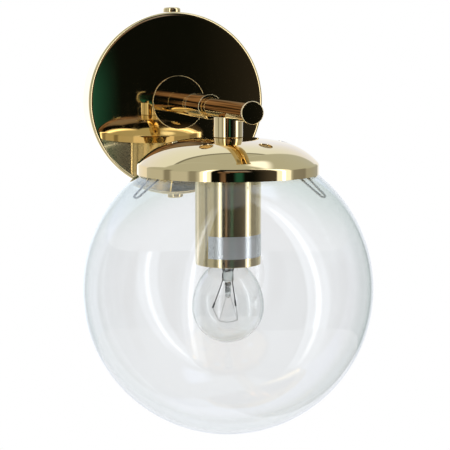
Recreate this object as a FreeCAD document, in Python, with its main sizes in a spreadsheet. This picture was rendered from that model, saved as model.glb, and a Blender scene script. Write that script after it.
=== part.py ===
"""Globe wall sconce: a round canopy, one straight arm, a spun dome and a clear glass globe.

Millimetres.  The wall is the plane Y = 0 and the lamp stands out from it towards -Y, with +Z up.  The
origin is the middle of the canopy's back, and the arm's axis runs along Y through it.  The lamp hangs
from the arm on a vertical axis, which is the bulb's and the globe's own.
"""
import FreeCAD, Part
import math
import os
from types import SimpleNamespace

import Sketcher
from FreeCAD import Placement, Rotation, Vector

DIMENSIONS = [
    # alias, value, what it is
    ("canopy_radius", 63.9, "wall canopy, outer radius"),
    ("canopy_depth", 26.0, "wall to the canopy's front rim"),
    ("canopy_rise", 2.2, "how far the canopy's face crowns out in front of its rim"),
    ("canopy_edge", 2.7, "rounding of the canopy's front edge"),
    ("sheet_metal", 0.9, "thickness of the spun brass sheet"),
    ("side_screw_depth", 9.0, "wall to the canopy's side screws"),
    ("disc_radius", 19.0, "base disc under the arm"),
    ("disc_height", 1.5, "base disc, thickness"),
    ("arm_reach", 158.0, "wall to the lamp's vertical axis"),
    ("arm_tip", 209.5, "wall to the end of the arm"),
    ("tube_radius", 6.0, "arm tube, outer radius"),
    ("tube_bore", 5.0, "arm tube, inner radius"),
    ("sleeve_radius", 8.0, "sleeves round the arm's root"),
    ("sleeve_seam", 80.6, "wall to the joint between the two sleeves"),
    ("sleeve_front", 116.0, "wall to the front of the sleeves"),
    ("cap_radius", 6.7, "end cap of the arm"),
    ("cap_height", 2.5, "end cap, thickness"),
    ("thread_radius", 5.0, "M10 threaded nipples"),
    ("nipple_bore", 3.75, "bore of the nipples"),
    ("nut_flats", 14.0, "M10 nuts, across flats"),
    ("nut_height", 3.0, "M10 nuts, thickness"),
    ("knuckle_radius", 9.0, "boss that joins arm and dome"),
    ("dome_top", 16.8, "arm axis down to the dome's top"),
    ("dome_radius", 55.86, "dome, outer radius"),
    ("dome_rim", 39.1, "arm axis down to the dome's rim"),
    ("vent_radius", 4.2, "one vent hole"),
    ("vent_circle", 35.4, "lamp axis to a vent hole's middle"),
    ("vent_bearing", 23.0, "first vent hole, turned from straight out towards +X"),
    ("globe_radius", 90.0, "glass globe, outer radius"),
    ("globe_drop", 110.7, "arm axis down to the globe's middle"),
    ("glass_wall", 2.0, "globe, wall thickness"),
    ("neck_radius", 52.0, "globe, radius of its opening"),
    ("clip_bearing", 46.3, "first globe clip, turned from straight out towards +X"),
    ("clip_wire", 0.6, "clip wire, radius"),
    ("clip_pivot", 37.5, "lamp axis to a clip's pivot"),
    ("clip_pivot_drop", 27.5, "arm axis down to a clip's pivot"),
    ("clip_width", 13.0, "between a clip's two legs"),
    ("cup_radius", 20.4, "lampholder cup, outer radius"),
    ("cup_top", 22.9, "arm axis down to the cup's closed top"),
    ("cup_mouth", 95.0, "arm axis down to the cup's open mouth"),
    ("holder_radius", 13.5, "lampholder body, outer radius"),
    ("holder_top", 29.0, "arm axis down to the lampholder's threaded entry"),
    ("holder_mouth", 88.0, "arm axis down to the lampholder's mouth"),
    ("bulb_radius", 22.5, "bulb, radius of its ball"),
    ("bulb_drop", 122.5, "arm axis down to the middle of the bulb's ball"),
    ("bulb_wall", 0.6, "bulb glass, thickness"),
    ("base_radius", 6.95, "bulb base E14, radius over the thread"),
    ("wire_radius", 0.9, "insulated wires, radius"),
    ("slot_height", 30.0, "arm axis to the middle of a bracket slot"),
    ("slot_half_width", 2.5, "half the width of a bracket slot"),
    ("slot_length", 14.0, "bracket slot, overall length"),
    ("strap_half_width", 11.0, "half the width of the bracket's strap"),
    ("strap_sheet", 1.8, "thickness of the bracket's steel"),
    ("cable_hole", 9.0, "radius of the hole for the supply cable"),
]

GLOBE_CLIPS = 3
VENT_HOLES = 6
FULL_TURN = 360.0
DOWN = Rotation(Vector(1, 0, 0), 180)  # local +Z points to the floor
OUT = Rotation(Vector(1, 0, 0), 90)  # local +Z points away from the wall, local +Y up
ALONG_X = Rotation(Vector(0, 1, 0), 90)

doc = FreeCAD.newDocument("GlobeWallSconce")


# ---------------------------------------------------------------- the sheet of sizes
class Size:
    """A number together with the sheet formula that gives it, so that sums stay bound to the sheet."""

    def __init__(self, value, text):
        self.value = value
        self.text = text

    def __add__(self, other):
        other = as_size(other)
        return Size(self.value + other.value, f"({self.text} + {other.text})")

    def __sub__(self, other):
        other = as_size(other)
        return Size(self.value - other.value, f"({self.text} - {other.text})")

    def __mul__(self, other):
        other = as_size(other)
        return Size(self.value * other.value, f"({self.text} * {other.text})")

    def __truediv__(self, other):
        other = as_size(other)
        return Size(self.value / other.value, f"({self.text} / {other.text})")

    def __neg__(self):
        return Size(-self.value, f"(0 - {self.text})")

    __radd__ = __add__
    __rmul__ = __mul__

    def __rsub__(self, other):
        return as_size(other) - self


def as_size(number):
    """A plain number as a Size; a Size stays as it is."""
    return number if isinstance(number, Size) else Size(number, repr(number))


def crown_radius(half_width, rise):
    """The radius of a shallow spherical crown, from half its width and its height."""
    return (as_size(half_width) * half_width + as_size(rise) * rise) / (as_size(rise) * 2)


def fill_sheet():
    """Writes the dimensions to the spreadsheet and returns them by name."""
    sheet = doc.addObject("Spreadsheet::Sheet", "Sizes")
    for row, (alias, value, note) in enumerate(DIMENSIONS, 1):
        sheet.set(f"A{row}", note)
        sheet.set(f"B{row}", str(value))
        sheet.setAlias(f"B{row}", alias)
    doc.recompute()
    return SimpleNamespace(**{alias: Size(value, f"Sizes.{alias}") for alias, value, note in DIMENSIONS})


S = fill_sheet()


# ---------------------------------------------------------------- ways of making a piece
def bind(item, name, size):
    """Sets a property of an object from a size, by formula."""
    item.setExpression(name, as_size(size).text)


def place(item, x=0.0, y=0.0, z=0.0, turn=None):
    """Gives an object its place, each coordinate bound to the sheet."""
    spot = Vector(*(as_size(part).value for part in (x, y, z)))
    item.Placement = Placement(spot, turn or Rotation())
    for axis, size in zip("xyz", (x, y, z)):
        bind(item, f"Placement.Base.{axis}", size)
    return item


def named(item, label):
    """Marks an object as a finished sub-part: its label names its file."""
    item.Label = label
    NODES.append(item)
    return item


NODES = []


def arc_centre(start, end, radius):
    """The centre of the shorter arc between two points, to the left of the way for a positive radius."""
    chord = (end - start) * (1 if radius > 0 else -1)
    left = Vector(-chord.y, chord.x, 0).normalize()
    return (start + end) / 2 + left * math.sqrt(max(radius * radius - chord.Length**2 / 4, 0.0))


def arc_between(start, end, radius):
    """A sketch arc, bulging outwards for a positive radius on an outline drawn anticlockwise."""
    first, last = (start, end) if radius > 0 else (end, start)
    centre = arc_centre(start, end, radius)
    angles = [math.atan2(point.y - centre.y, point.x - centre.x) for point in (first, last)]
    return Part.ArcOfCircle(Part.Circle(centre, Vector(0, 0, 1), abs(radius)), *angles)


def plane_of(body, role):
    """One of a body's own origin planes."""
    return next(feature for feature in body.Origin.OriginFeatures if feature.Role == role)


def sketch_on(body, role):
    """An empty sketch on one of the body's origin planes."""
    sketch = body.newObject("Sketcher::SketchObject", "Sketch")
    sketch.AttachmentSupport = [(plane_of(body, role), "")]
    sketch.MapMode = "FlatFace"
    return sketch


def pin_point(sketch, geometry, end, x, y):
    """Dimensions one end of a sketch line or arc from the origin."""
    for kind, size in (("DistanceX", as_size(x)), ("DistanceY", as_size(y))):
        index = sketch.addConstraint(Sketcher.Constraint(kind, -1, 1, geometry, end, size.value))
        sketch.setExpression(f"Constraints[{index}]", size.text)


def draw_outline(sketch, corners):
    """Draws a closed outline, anticlockwise.

    A corner is (x, y), or (x, y, radius) where an arc of that radius leads on to the next corner."""
    points = [Vector(as_size(corner[0]).value, as_size(corner[1]).value, 0) for corner in corners]
    ends = []
    for index, corner in enumerate(corners):
        start, end = points[index], points[(index + 1) % len(points)]
        if len(corner) == 2:
            sketch.addGeometry(Part.LineSegment(start, end))
            ends.append((1, 2))
            continue
        radius = as_size(corner[2])
        sketch.addGeometry(arc_between(start, end, radius.value))
        ends.append((1, 2) if radius.value > 0 else (2, 1))
    for index, corner in enumerate(corners):
        following = (index + 1) % len(corners)
        sketch.addConstraint(
            Sketcher.Constraint("Coincident", index, ends[index][1], following, ends[following][0])
        )
        pin_point(sketch, index, ends[index][0], corner[0], corner[1])
        if len(corner) == 3:
            radius = as_size(corner[2])
            round_off = Sketcher.Constraint("Radius", index, abs(radius.value))
            place_in_list = sketch.addConstraint(round_off)
            bend = radius if radius.value > 0 else -radius
            sketch.setExpression(f"Constraints[{place_in_list}]", bend.text)


def turned(label, corners, angle=FULL_TURN):
    """A body turned about its own Z axis from an outline of (radius, height) corners."""
    body = doc.addObject("PartDesign::Body", label)
    sketch = sketch_on(body, "XZ_Plane")
    draw_outline(sketch, corners)
    turning = body.newObject("PartDesign::Revolution", "Turning")
    turning.Profile = sketch
    turning.ReferenceAxis = (sketch, ["V_Axis"])
    turning.Angle = angle
    return named(body, label)


def skin_normals(points, corners):
    """The outward directions of an outline's run or arc at its two ends, for each stretch of it."""
    normals = []
    for start, end, corner in zip(points, points[1:], corners):
        if len(corner) == 3:
            radius = as_size(corner[2]).value
            centre = arc_centre(start, end, radius)
            normals.append([(point - centre) / radius for point in (start, end)])
        else:
            along = (end - start).normalize()
            normals.append([Vector(along.y, -along.x, 0)] * 2)
    return normals


def shell(label, skin, wall):
    """A turned shell of one wall thickness, inside an outer skin drawn anticlockwise from end to end.

    An end on the axis closes the shell there, and any other end is an opening, square to the axis."""
    wall = as_size(wall)
    points = [Vector(as_size(corner[0]).value, as_size(corner[1]).value, 0) for corner in skin]
    normals = skin_normals(points, skin)
    lining = []
    for index, corner in enumerate(skin):
        before = normals[max(index - 1, 0)][1 if index else 0]
        after = normals[min(index, len(normals) - 1)][0 if index < len(normals) else 1]
        step = (before + after) / (1 + before.dot(after))
        if index in (0, len(skin) - 1):
            on_axis = points[index].x == 0.0
            step = Vector(0, 1 / step.y, 0) if on_axis else Vector(1 / step.x, 0, 0)
        lining.append([corner[0] - wall * step.x, corner[1] - wall * step.y])
    lining.reverse()
    for place_in_list, corner in enumerate(reversed(skin[:-1])):
        if len(corner) == 3:
            radius = as_size(corner[2])
            lining[place_in_list].append(wall - radius)
    return turned(label, [*skin, *lining])


def drill(body, radius, x=0.0, y=0.0, role="XY_Plane"):
    """Drills a round hole right through a body, square to one of its origin planes."""
    sketch = sketch_on(body, role)
    centre = Vector(as_size(x).value, as_size(y).value, 0)
    sketch.addGeometry(Part.Circle(centre, Vector(0, 0, 1), as_size(radius).value))
    pin_point(sketch, 0, 3, x, y)
    index = sketch.addConstraint(Sketcher.Constraint("Radius", 0, as_size(radius).value))
    sketch.setExpression(f"Constraints[{index}]", as_size(radius).text)
    hole = body.newObject("PartDesign::Pocket", "Hole")
    hole.Profile = sketch
    hole.Type = "ThroughAll"
    hole.Midplane = True
    return hole


def repeat_round(body, feature, count):
    """Repeats a hole evenly round the body's Z axis."""
    doc.recompute()
    pattern = body.newObject("PartDesign::PolarPattern", "Round")
    pattern.Originals = [feature]
    pattern.Axis = (feature.Profile[0], ["N_Axis"])
    pattern.Occurrences = count
    pattern.Angle = FULL_TURN
    body.Tip = pattern


def cylinder(radius, height, x=0.0, y=0.0, z=0.0, turn=None):
    """A plain cylinder from its base's middle, as raw stock or as a cutter."""
    rod = doc.addObject("Part::Cylinder", "Rod")
    bind(rod, "Radius", radius)
    bind(rod, "Height", height)
    return place(rod, x, y, z, turn)


def block(low, high):
    """A plain box between two corners."""
    box = doc.addObject("Part::Box", "Block")
    for name, start, end in zip(("Length", "Width", "Height"), low, high):
        bind(box, name, as_size(end) - start)
    return place(box, *low)


def hexagon(height, x=0.0, y=0.0, z=0.0, turn=None):
    """A six-sided bar, as wide over its flats as the nuts."""
    bar = doc.addObject("Part::Prism", "Hexagon")
    bar.Polygon = 6
    bind(bar, "Circumradius", S.nut_flats / math.sqrt(3))
    bind(bar, "Height", height)
    return place(bar, x, y, z, turn)


def cut(base, *tools):
    """The base with the tools cut away."""
    for tool in tools:
        piece = doc.addObject("Part::Cut", "Cut")
        piece.Base = base
        piece.Tool = tool
        base = piece
    return base


def join(*pieces):
    """Several solids welded into one."""
    whole = doc.addObject("Part::MultiFuse", "Joined")
    whole.Shapes = list(pieces)
    return whole


def group(*pieces):
    """Several solids kept apart in one sub-part."""
    together = doc.addObject("Part::Compound", "Group")
    together.Links = list(pieces)
    return together


def tube(outer, inner, height, **spot):
    """A plain tube."""
    return cut(cylinder(outer, height, **spot), cylinder(inner, height, **spot))


def hex_nut(label, **spot):
    """An M10 nut: a hexagon with its corners turned off and a threaded hole."""
    rounded = doc.addObject("Part::Common", "Rounded")
    rounded.Base = hexagon(S.nut_height, **spot)
    rounded.Tool = cylinder(S.nut_flats * 0.56, S.nut_height, **spot)
    return named(cut(rounded, cylinder(S.thread_radius, S.nut_height, **spot)), label)


def rounded_path(points, radii):
    """A wire of straight runs, each inner corner rounded by an arc tangent to both runs."""
    edges = []
    start = points[0]
    for before, corner, after, radius in zip(points, points[1:], points[2:], radii):
        incoming = (corner - before).normalize()
        outgoing = (after - corner).normalize()
        turn = incoming.getAngle(outgoing)
        setback = radius * math.tan(turn / 2)
        first = corner - incoming * setback
        last = corner + outgoing * setback
        inward = (outgoing - incoming).normalize()
        middle = corner + inward * (radius / math.cos(turn / 2) - radius)
        edges.append(Part.LineSegment(start, first).toShape())
        edges.append(Part.Arc(first, middle, last).toShape())
        start = last
    edges.append(Part.LineSegment(start, points[-1]).toShape())
    return Part.Wire(edges)


def wire_piece(label, points, radii, thickness):
    """A round wire of one thickness along a bent path."""
    path = rounded_path(points, radii)
    section = Part.Wire(Part.Circle(points[0], points[1] - points[0], thickness).toShape())
    solid = path.makePipeShell([section], True, False)
    print(f"{label}: bends {radii}, volume {solid.Volume:.1f} of {path.Length * math.pi * thickness**2:.1f}")
    piece = doc.addObject("Part::Feature", label)
    piece.Shape = solid
    return piece


# ---------------------------------------------------------------- places used by several pieces
LAMP_Y = -S.arm_reach
CANOPY_FRONT = S.canopy_depth + S.canopy_rise
CANOPY_CROWN = crown_radius(S.canopy_radius - S.canopy_edge, S.canopy_rise)
DISC_FRONT = CANOPY_FRONT + S.disc_height
HUB_TOP = S.dome_top + 1.7  # the clip carrier hangs clear of the dome's curve, on a washer
HUB_SHEET = 1.0


def lamp(depth, turn=DOWN):
    """A place on the lamp's axis, some depth under the arm's axis, seen from above."""
    return {"y": LAMP_Y, "z": -as_size(depth), "turn": turn}


def on_arm(distance):
    """A place on the arm's axis, some distance out from the wall."""
    return {"y": -as_size(distance), "turn": OUT}


def round_lamp(bearing, radius, sideways, depth):
    """A point round the lamp's axis: bearing from straight out towards +X, then radius and side step."""
    angle = math.radians(bearing)
    out = Vector(math.sin(angle), -math.cos(angle), 0)
    side = Vector(math.cos(angle), math.sin(angle), 0)
    return Vector(0, LAMP_Y.value, -depth) + out * radius + side * sideways


# ---------------------------------------------------------------- on the wall
def wall_bracket():
    """A flat steel strap with a round middle, a wing for the terminals and two bent ears."""
    ear_reach = 16.0
    ear_height = 59.0
    middle_radius = 20.0
    wing_reach = 42.0
    wing_half_height = 12.0
    sheet = S.strap_sheet
    strap = block((-S.strap_half_width, -sheet, -ear_height), (S.strap_half_width, 0.0, ear_height))
    middle = cylinder(middle_radius, sheet, turn=OUT)
    wing = block((0.0, -sheet, -wing_half_height), (wing_reach, 0.0, wing_half_height))
    ears = [
        block((-S.strap_half_width, -ear_reach, low), (S.strap_half_width, 0.0, sheet + low))
        for low in (ear_height - sheet.value, -ear_height)
    ]
    plate = join(strap, middle, wing, *ears)
    slots = []
    for side in (1, -1):
        run = (S.slot_length - S.slot_half_width * 2) / 2
        height = S.slot_height * side
        low_corner = (-S.slot_half_width, -sheet, height - run)
        slots.append(block(low_corner, (S.slot_half_width, 0.0, height + run)))
        for end in (1, -1):
            slots.append(cylinder(S.slot_half_width, sheet, z=height + run * end, turn=OUT))
    ear_thread = cylinder(2.15, ear_height * 2, y=-S.side_screw_depth, z=-ear_height)
    earth_thread = cylinder(2.0, sheet, x=EARTH[0], z=EARTH[1], turn=OUT)
    terminal_thread = cylinder(1.5, sheet, x=TERMINAL_X, z=TERMINAL_SCREW_Z, turn=OUT)
    cable_hole = cylinder(S.cable_hole, sheet, turn=OUT)
    return named(cut(plate, *slots, ear_thread, earth_thread, terminal_thread, cable_hole), "wall_bracket")


EARTH = (11.0, -11.0)
TERMINAL_X = 33.0
TERMINAL_SCREW_Z = 4.0
TERMINAL_WAYS = (8.0, 0.0, -8.0)


def wall_canopy():
    """The round canopy: spun sheet, open at the back, its face very slightly crowned."""
    edge = S.canopy_radius - S.canopy_edge
    body = shell(
        "wall_canopy",
        [
            (S.canopy_radius, 0.0),
            (S.canopy_radius, S.canopy_depth - S.canopy_edge, S.canopy_edge),
            (edge, S.canopy_depth, CANOPY_CROWN),
            (0.0, CANOPY_FRONT),
        ],
        S.sheet_metal,
    )
    drill(body, S.thread_radius + 0.2)
    drill(body, 2.4, 0.0, S.side_screw_depth, "XZ_Plane")
    return place(body, turn=OUT)


def canopy_screw(label, side):
    """One of the screws through the canopy's side: a domed cap head on a short M4 thread."""
    head_radius = 6.25
    head_base = S.canopy_radius + 0.3
    head_top = 67.6
    crown_width, crown_rise = head_radius - 1.6, 0.45
    tip = 54.0
    body = turned(
        label,
        [
            (0.0, tip),
            (1.6, tip),
            (2.0, tip + 0.4),
            (2.0, head_base),
            (head_radius, head_base),
            (head_radius, head_top - 1.6, 1.8),
            (crown_width, head_top, crown_radius(crown_width, crown_rise)),
            (0.0, head_top + crown_rise),
        ],
    )
    return place(body, y=-S.side_screw_depth, turn=Rotation() if side > 0 else DOWN)


def terminal_block():
    """The three-way terminal block on the bracket's wing, with its screws."""
    low = (TERMINAL_X - 8.0, -S.strap_sheet - 13.0, -13.0)
    high = (TERMINAL_X + 8.0, -S.strap_sheet, 13.0)
    shell = block(low, high)
    rounded = doc.addObject("Part::Fillet", "Softened")
    rounded.Base = shell
    doc.recompute()
    upright = [
        (number, 1.5, 1.5)
        for number, edge in enumerate(shell.Shape.Edges, 1)
        if abs(edge.tangentAt(edge.FirstParameter).y) > 0.9
    ]
    rounded.Edges = upright
    ways = [cylinder(1.6, 18.0, TERMINAL_X - 9.0, -8.0, height, ALONG_X) for height in TERMINAL_WAYS]
    top_x, top_y = TERMINAL_X - 4.0, -S.strap_sheet - 9.0
    wells = [cylinder(2.2, 4.0, top_x, top_y, height, OUT) for height in TERMINAL_WAYS]
    fixing = cylinder(1.7, 14.0, TERMINAL_X, -1.0, TERMINAL_SCREW_Z, OUT)
    named(cut(rounded, *ways, *wells, fixing), "terminal_block")
    screws = [slotted_head(2.0, 2.4, top_x, top_y - 0.2, height) for height in TERMINAL_WAYS]
    named(group(*screws), "terminal_screws")
    shank = cylinder(1.45, 15.0, TERMINAL_X, 0.0, TERMINAL_SCREW_Z, OUT)
    head = slotted_head(2.8, 1.8, TERMINAL_X, -15.0, TERMINAL_SCREW_Z)
    named(join(shank, head), "terminal_fixing_screw")


def slotted_head(radius, height, x, y, z):
    """A round screw head with one driver slot, facing away from the wall."""
    head = cylinder(radius, height, x, y, z, OUT)
    slot_depth = 0.8
    top = as_size(y) - height
    slot = block((x - radius - 1.0, top, z - 0.4), (x + radius + 1.0, top + slot_depth, z + 0.4))
    return cut(head, slot)


def earth_screw():
    """The earth screw on the bracket, with the washer that holds the earth wire."""
    shank = cylinder(1.9, S.strap_sheet + 3.0, EARTH[0], 0.0, EARTH[1], OUT)
    head = slotted_head(3.5, 2.2, EARTH[0], -S.strap_sheet - 2.8, EARTH[1])
    named(join(shank, head), "earth_screw")
    washer = cut(
        cylinder(4.2, 0.8, EARTH[0], -S.strap_sheet, EARTH[1], OUT),
        cylinder(2.0, 0.8, EARTH[0], -S.strap_sheet, EARTH[1], OUT),
    )
    named(washer, "earth_washer")


# ---------------------------------------------------------------- the arm
def base_disc():
    """The polished disc between canopy and arm, dished behind to the canopy's crown."""
    bore = S.thread_radius + 0.2
    fall = S.disc_radius * S.disc_radius / (CANOPY_CROWN * 2)  # of the crown, at the disc's edge
    body = turned(
        "base_disc",
        [
            (bore, CANOPY_FRONT, -CANOPY_CROWN),
            (S.disc_radius, CANOPY_FRONT - fall),
            (S.disc_radius, DISC_FRONT - 0.3),
            (S.disc_radius - 0.3, DISC_FRONT),
            (bore, DISC_FRONT),
        ],
    )
    return place(body, turn=OUT)


def arm_sleeve(label, start, end):
    """One of the two polished sleeves round the arm's root, its edges broken."""
    bore = S.tube_radius
    body = turned(
        label,
        [
            (bore, start),
            (S.sleeve_radius - 0.35, start),
            (S.sleeve_radius, start + 0.35),
            (S.sleeve_radius, end - 0.35),
            (S.sleeve_radius - 0.35, end),
            (bore, end),
        ],
    )
    return place(body, turn=OUT)


def arm_tube():
    """The straight arm, with the wires' way out down into the knuckle."""
    length = S.arm_tip - S.cap_height - DISC_FRONT
    pipe = tube(S.tube_radius, S.tube_bore, length, **on_arm(DISC_FRONT))
    way_out = cylinder(4.0, S.tube_radius + 2.0, **lamp(0.0))
    return named(cut(pipe, way_out), "arm_tube")


def arm_end_cap():
    """The turned button that closes the arm, with a plug inside the tube."""
    back = S.arm_tip - S.cap_height
    body = turned(
        "arm_end_cap",
        [
            (0.0, back - 6.0),
            (S.tube_bore, back - 6.0),
            (S.tube_bore, back),
            (S.cap_radius, back),
            (S.cap_radius, S.arm_tip - 0.6),
            (S.cap_radius - 0.6, S.arm_tip),
            (0.0, S.arm_tip),
        ],
    )
    return place(body, turn=OUT)


def arm_fixing():
    """What clamps the arm to the canopy: threaded nipple, washer and nut behind its face."""
    behind = CANOPY_FRONT - S.sheet_metal
    nipple_back = as_size(15.0)
    nipple = tube(S.thread_radius, S.nipple_bore, DISC_FRONT + 18.0 - nipple_back, **on_arm(nipple_back))
    named(nipple, "arm_nipple")
    washer_radius, washer_sheet = 10.0, 1.2
    hollow_behind = 0.15  # under the canopy's crown, which only the washer's edge would touch
    washer_back = behind - hollow_behind - washer_sheet
    washer = tube(as_size(washer_radius), S.thread_radius + 0.2, washer_sheet, **on_arm(washer_back))
    named(washer, "arm_washer")
    hex_nut("arm_nut", **on_arm(washer_back - S.nut_height))


def knuckle():
    """The round boss under the arm, saddled to the tube, that carries the dome."""
    top = as_size(4.5)
    boss = cylinder(S.knuckle_radius, S.dome_top - top, **lamp(top))
    saddle = cylinder(S.tube_radius, S.knuckle_radius * 3, **on_arm(S.arm_reach - S.knuckle_radius * 1.5))
    bore = cylinder(S.thread_radius, S.dome_top, **lamp(0.0))
    return named(cut(boss, saddle, bore), "knuckle")


# ---------------------------------------------------------------- dome and clips
def gallery_dome():
    """The spun dome over the globe: three tangent curves, a tight shoulder and an upright band."""
    crown, flank, shoulder, corner = 230.0, 90.0, 42.0, 3.0
    crown_radius, flank_radius = 22.5, 34.0
    slope_crown = math.asin(crown_radius / crown)
    slope_flank = math.asin(math.sin(slope_crown) + (flank_radius - crown_radius) / flank)
    left_over = S.dome_radius.value - corner - flank_radius
    slope_shoulder = math.asin((left_over + shoulder * math.sin(slope_flank)) / (shoulder - corner))
    shoulder_radius = S.dome_radius - corner * (1 - math.sin(slope_shoulder))
    crown_fall = crown * (1 - math.cos(slope_crown))
    flank_fall = crown_fall + flank * (math.cos(slope_crown) - math.cos(slope_flank))
    shoulder_fall = flank_fall + shoulder * (math.cos(slope_flank) - math.cos(slope_shoulder))
    body = shell(
        "gallery_dome",
        [
            (S.dome_radius, -S.dome_rim),
            (S.dome_radius, -S.dome_top - shoulder_fall - corner * math.cos(slope_shoulder), corner),
            (shoulder_radius, -S.dome_top - shoulder_fall, shoulder),
            (flank_radius, -S.dome_top - flank_fall, flank),
            (crown_radius, -S.dome_top - crown_fall, crown),
            (0.0, -S.dome_top),
        ],
        S.sheet_metal,
    )
    drill(body, S.thread_radius + 0.2)
    bearing = math.radians(S.vent_bearing.value)
    vent = drill(body, S.vent_radius, S.vent_circle * math.sin(bearing), S.vent_circle * -math.cos(bearing))
    repeat_round(body, vent, VENT_HOLES)
    return place(body, y=LAMP_Y)


def gallery_fixing():
    """What hangs dome and cup from the knuckle: nipple, washer and two nuts."""
    nipple_top, nipple_foot = as_size(8.0), as_size(34.0)
    named(tube(S.thread_radius, S.nipple_bore, nipple_foot - nipple_top, **lamp(nipple_top)), "lamp_nipple")
    washer_top = S.dome_top + S.sheet_metal + 0.2
    washer = tube(as_size(8.0), S.thread_radius + 0.1, HUB_TOP - washer_top, **lamp(washer_top))
    named(washer, "gallery_washer")
    hex_nut("gallery_nut", **lamp(HUB_TOP + HUB_SHEET))
    hex_nut("cup_nut", **lamp(S.cup_top + S.sheet_metal))


def clip_carrier():
    """The steel spider inside the dome: a hub, three arms and a curled barrel at the end of each."""
    hub_radius = 11.0
    arm_half_width = 4.4
    arm_end = 35.9
    barrel_radius = 1.8
    fall = S.clip_pivot_drop.value - HUB_TOP.value
    hub = cylinder(hub_radius, HUB_SHEET, **lamp(HUB_TOP))
    limbs = [hub]
    for number in range(GLOBE_CLIPS):
        bearing = S.clip_bearing.value + number * FULL_TURN / GLOBE_CLIPS
        profile = [
            (hub_radius - 2.0, 0.0),
            (hub_radius, 0.0),
            (arm_end + 0.8, 5.3),
            (arm_end + 0.8, fall),
            (arm_end, fall),
            (arm_end, 6.3),
            (hub_radius, HUB_SHEET),
            (hub_radius - 2.0, HUB_SHEET),
        ]
        corners = [
            round_lamp(bearing, radius, -arm_half_width, HUB_TOP.value + depth) for radius, depth in profile
        ]
        face = Part.Face(Part.makePolygon(corners + corners[:1]))
        across = round_lamp(bearing, 0.0, 2 * arm_half_width, 0.0) - round_lamp(bearing, 0.0, 0.0, 0.0)
        limb = doc.addObject("Part::Feature", "Limb")
        limb.Shape = face.extrude(across)
        curl = doc.addObject("Part::Feature", "Barrel")
        pivot = round_lamp(bearing, S.clip_pivot.value, -arm_half_width, S.clip_pivot_drop.value)
        curl.Shape = Part.makeCylinder(barrel_radius, 2 * arm_half_width, pivot, across)
        limbs += [limb, curl]
    bores = []
    for number in range(GLOBE_CLIPS):
        bearing = S.clip_bearing.value + number * FULL_TURN / GLOBE_CLIPS
        reach = arm_half_width + 1.0
        start = round_lamp(bearing, S.clip_pivot.value, -reach, S.clip_pivot_drop.value)
        end = round_lamp(bearing, S.clip_pivot.value, reach, S.clip_pivot_drop.value)
        bore = doc.addObject("Part::Feature", "Bore")
        bore.Shape = Part.makeCylinder(S.clip_wire.value + 0.2, (end - start).Length, start, end - start)
        bores.append(bore)
    nipple_hole = cylinder(S.thread_radius + 0.1, HUB_SHEET, **lamp(HUB_TOP))
    return named(cut(join(*limbs), *bores, nipple_hole), "clip_carrier")


def globe_clip(number):
    """A hairpin of spring wire: its ends turn in the carrier's barrel, its tip presses on the glass."""
    bearing = S.clip_bearing.value + number * FULL_TURN / GLOBE_CLIPS
    wide = S.clip_width.value / 2
    tip = 2.6
    # radius, side step and depth of each bend
    pivot = (S.clip_pivot.value, S.clip_pivot_drop.value)
    knee = (49.5, 39.7)
    end = (63.6, 51.2)
    bends = [
        (pivot[0], 1.2, pivot[1]),
        (pivot[0], wide, pivot[1]),
        (knee[0], wide * 0.8, knee[1]),
        (end[0], tip, end[1]),
        (end[0], -tip, end[1]),
        (knee[0], -wide * 0.8, knee[1]),
        (pivot[0], -wide, pivot[1]),
        (pivot[0], -1.2, pivot[1]),
    ]
    points = [round_lamp(bearing, radius, side, depth) for radius, side, depth in bends]
    return named(
        wire_piece(f"globe_clip_{number + 1}", points, [1.0, 6.0, 2.0, 2.0, 6.0, 1.0], S.clip_wire.value),
        f"globe_clip_{number + 1}",
    )


def glass_globe():
    """The clear glass globe: one thin sphere, its opening ground off flat and softened."""
    outer = doc.addObject("Part::Sphere", "Outside")
    bind(outer, "Radius", S.globe_radius)
    latitude = math.degrees(math.acos(S.neck_radius.value / S.globe_radius.value))
    outer.Angle2 = latitude
    place(outer, y=LAMP_Y, z=-S.globe_drop)
    inner = doc.addObject("Part::Sphere", "Inside")
    bind(inner, "Radius", S.globe_radius - S.glass_wall)
    place(inner, y=LAMP_Y, z=-S.globe_drop)
    shell = cut(outer, inner)
    doc.recompute()
    softened = doc.addObject("Part::Fillet", "Softened")
    softened.Base = shell
    rim_height = max(edge.CenterOfMass.z for edge in shell.Shape.Edges if edge.Closed)
    softened.Edges = [
        (number, 0.8, 0.8)
        for number, edge in enumerate(shell.Shape.Edges, 1)
        if edge.Closed and edge.CenterOfMass.z > rim_height - 0.5 and edge.Length > 1.0
    ]
    return named(softened, "glass_globe")


# ---------------------------------------------------------------- cup, lampholder and bulb
def lamp_cup():
    """The long brass cup that hides the lampholder, open at the bottom."""
    edge = 2.0
    body = shell(
        "lamp_cup",
        [
            (S.cup_radius, -S.cup_mouth),
            (S.cup_radius, -S.cup_top - edge, edge),
            (S.cup_radius - edge, -S.cup_top),
            (0.0, -S.cup_top),
        ],
        S.sheet_metal,
    )
    drill(body, S.thread_radius + 0.1)
    return place(body, y=LAMP_Y)


def lamp_label():
    """A bare strip of silver foil on the cup, round its front and right side."""
    foil = 0.12
    start, sweep = -51.5, 131.5
    bottom, top = -89.7, -76.0
    body = turned(
        "lamp_label",
        [
            (S.cup_radius, bottom),
            (S.cup_radius + foil, bottom),
            (S.cup_radius + foil, top),
            (S.cup_radius, top),
        ],
        sweep,
    )
    return place(body, y=LAMP_Y, turn=Rotation(Vector(0, 0, 1), start - 90.0))


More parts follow.
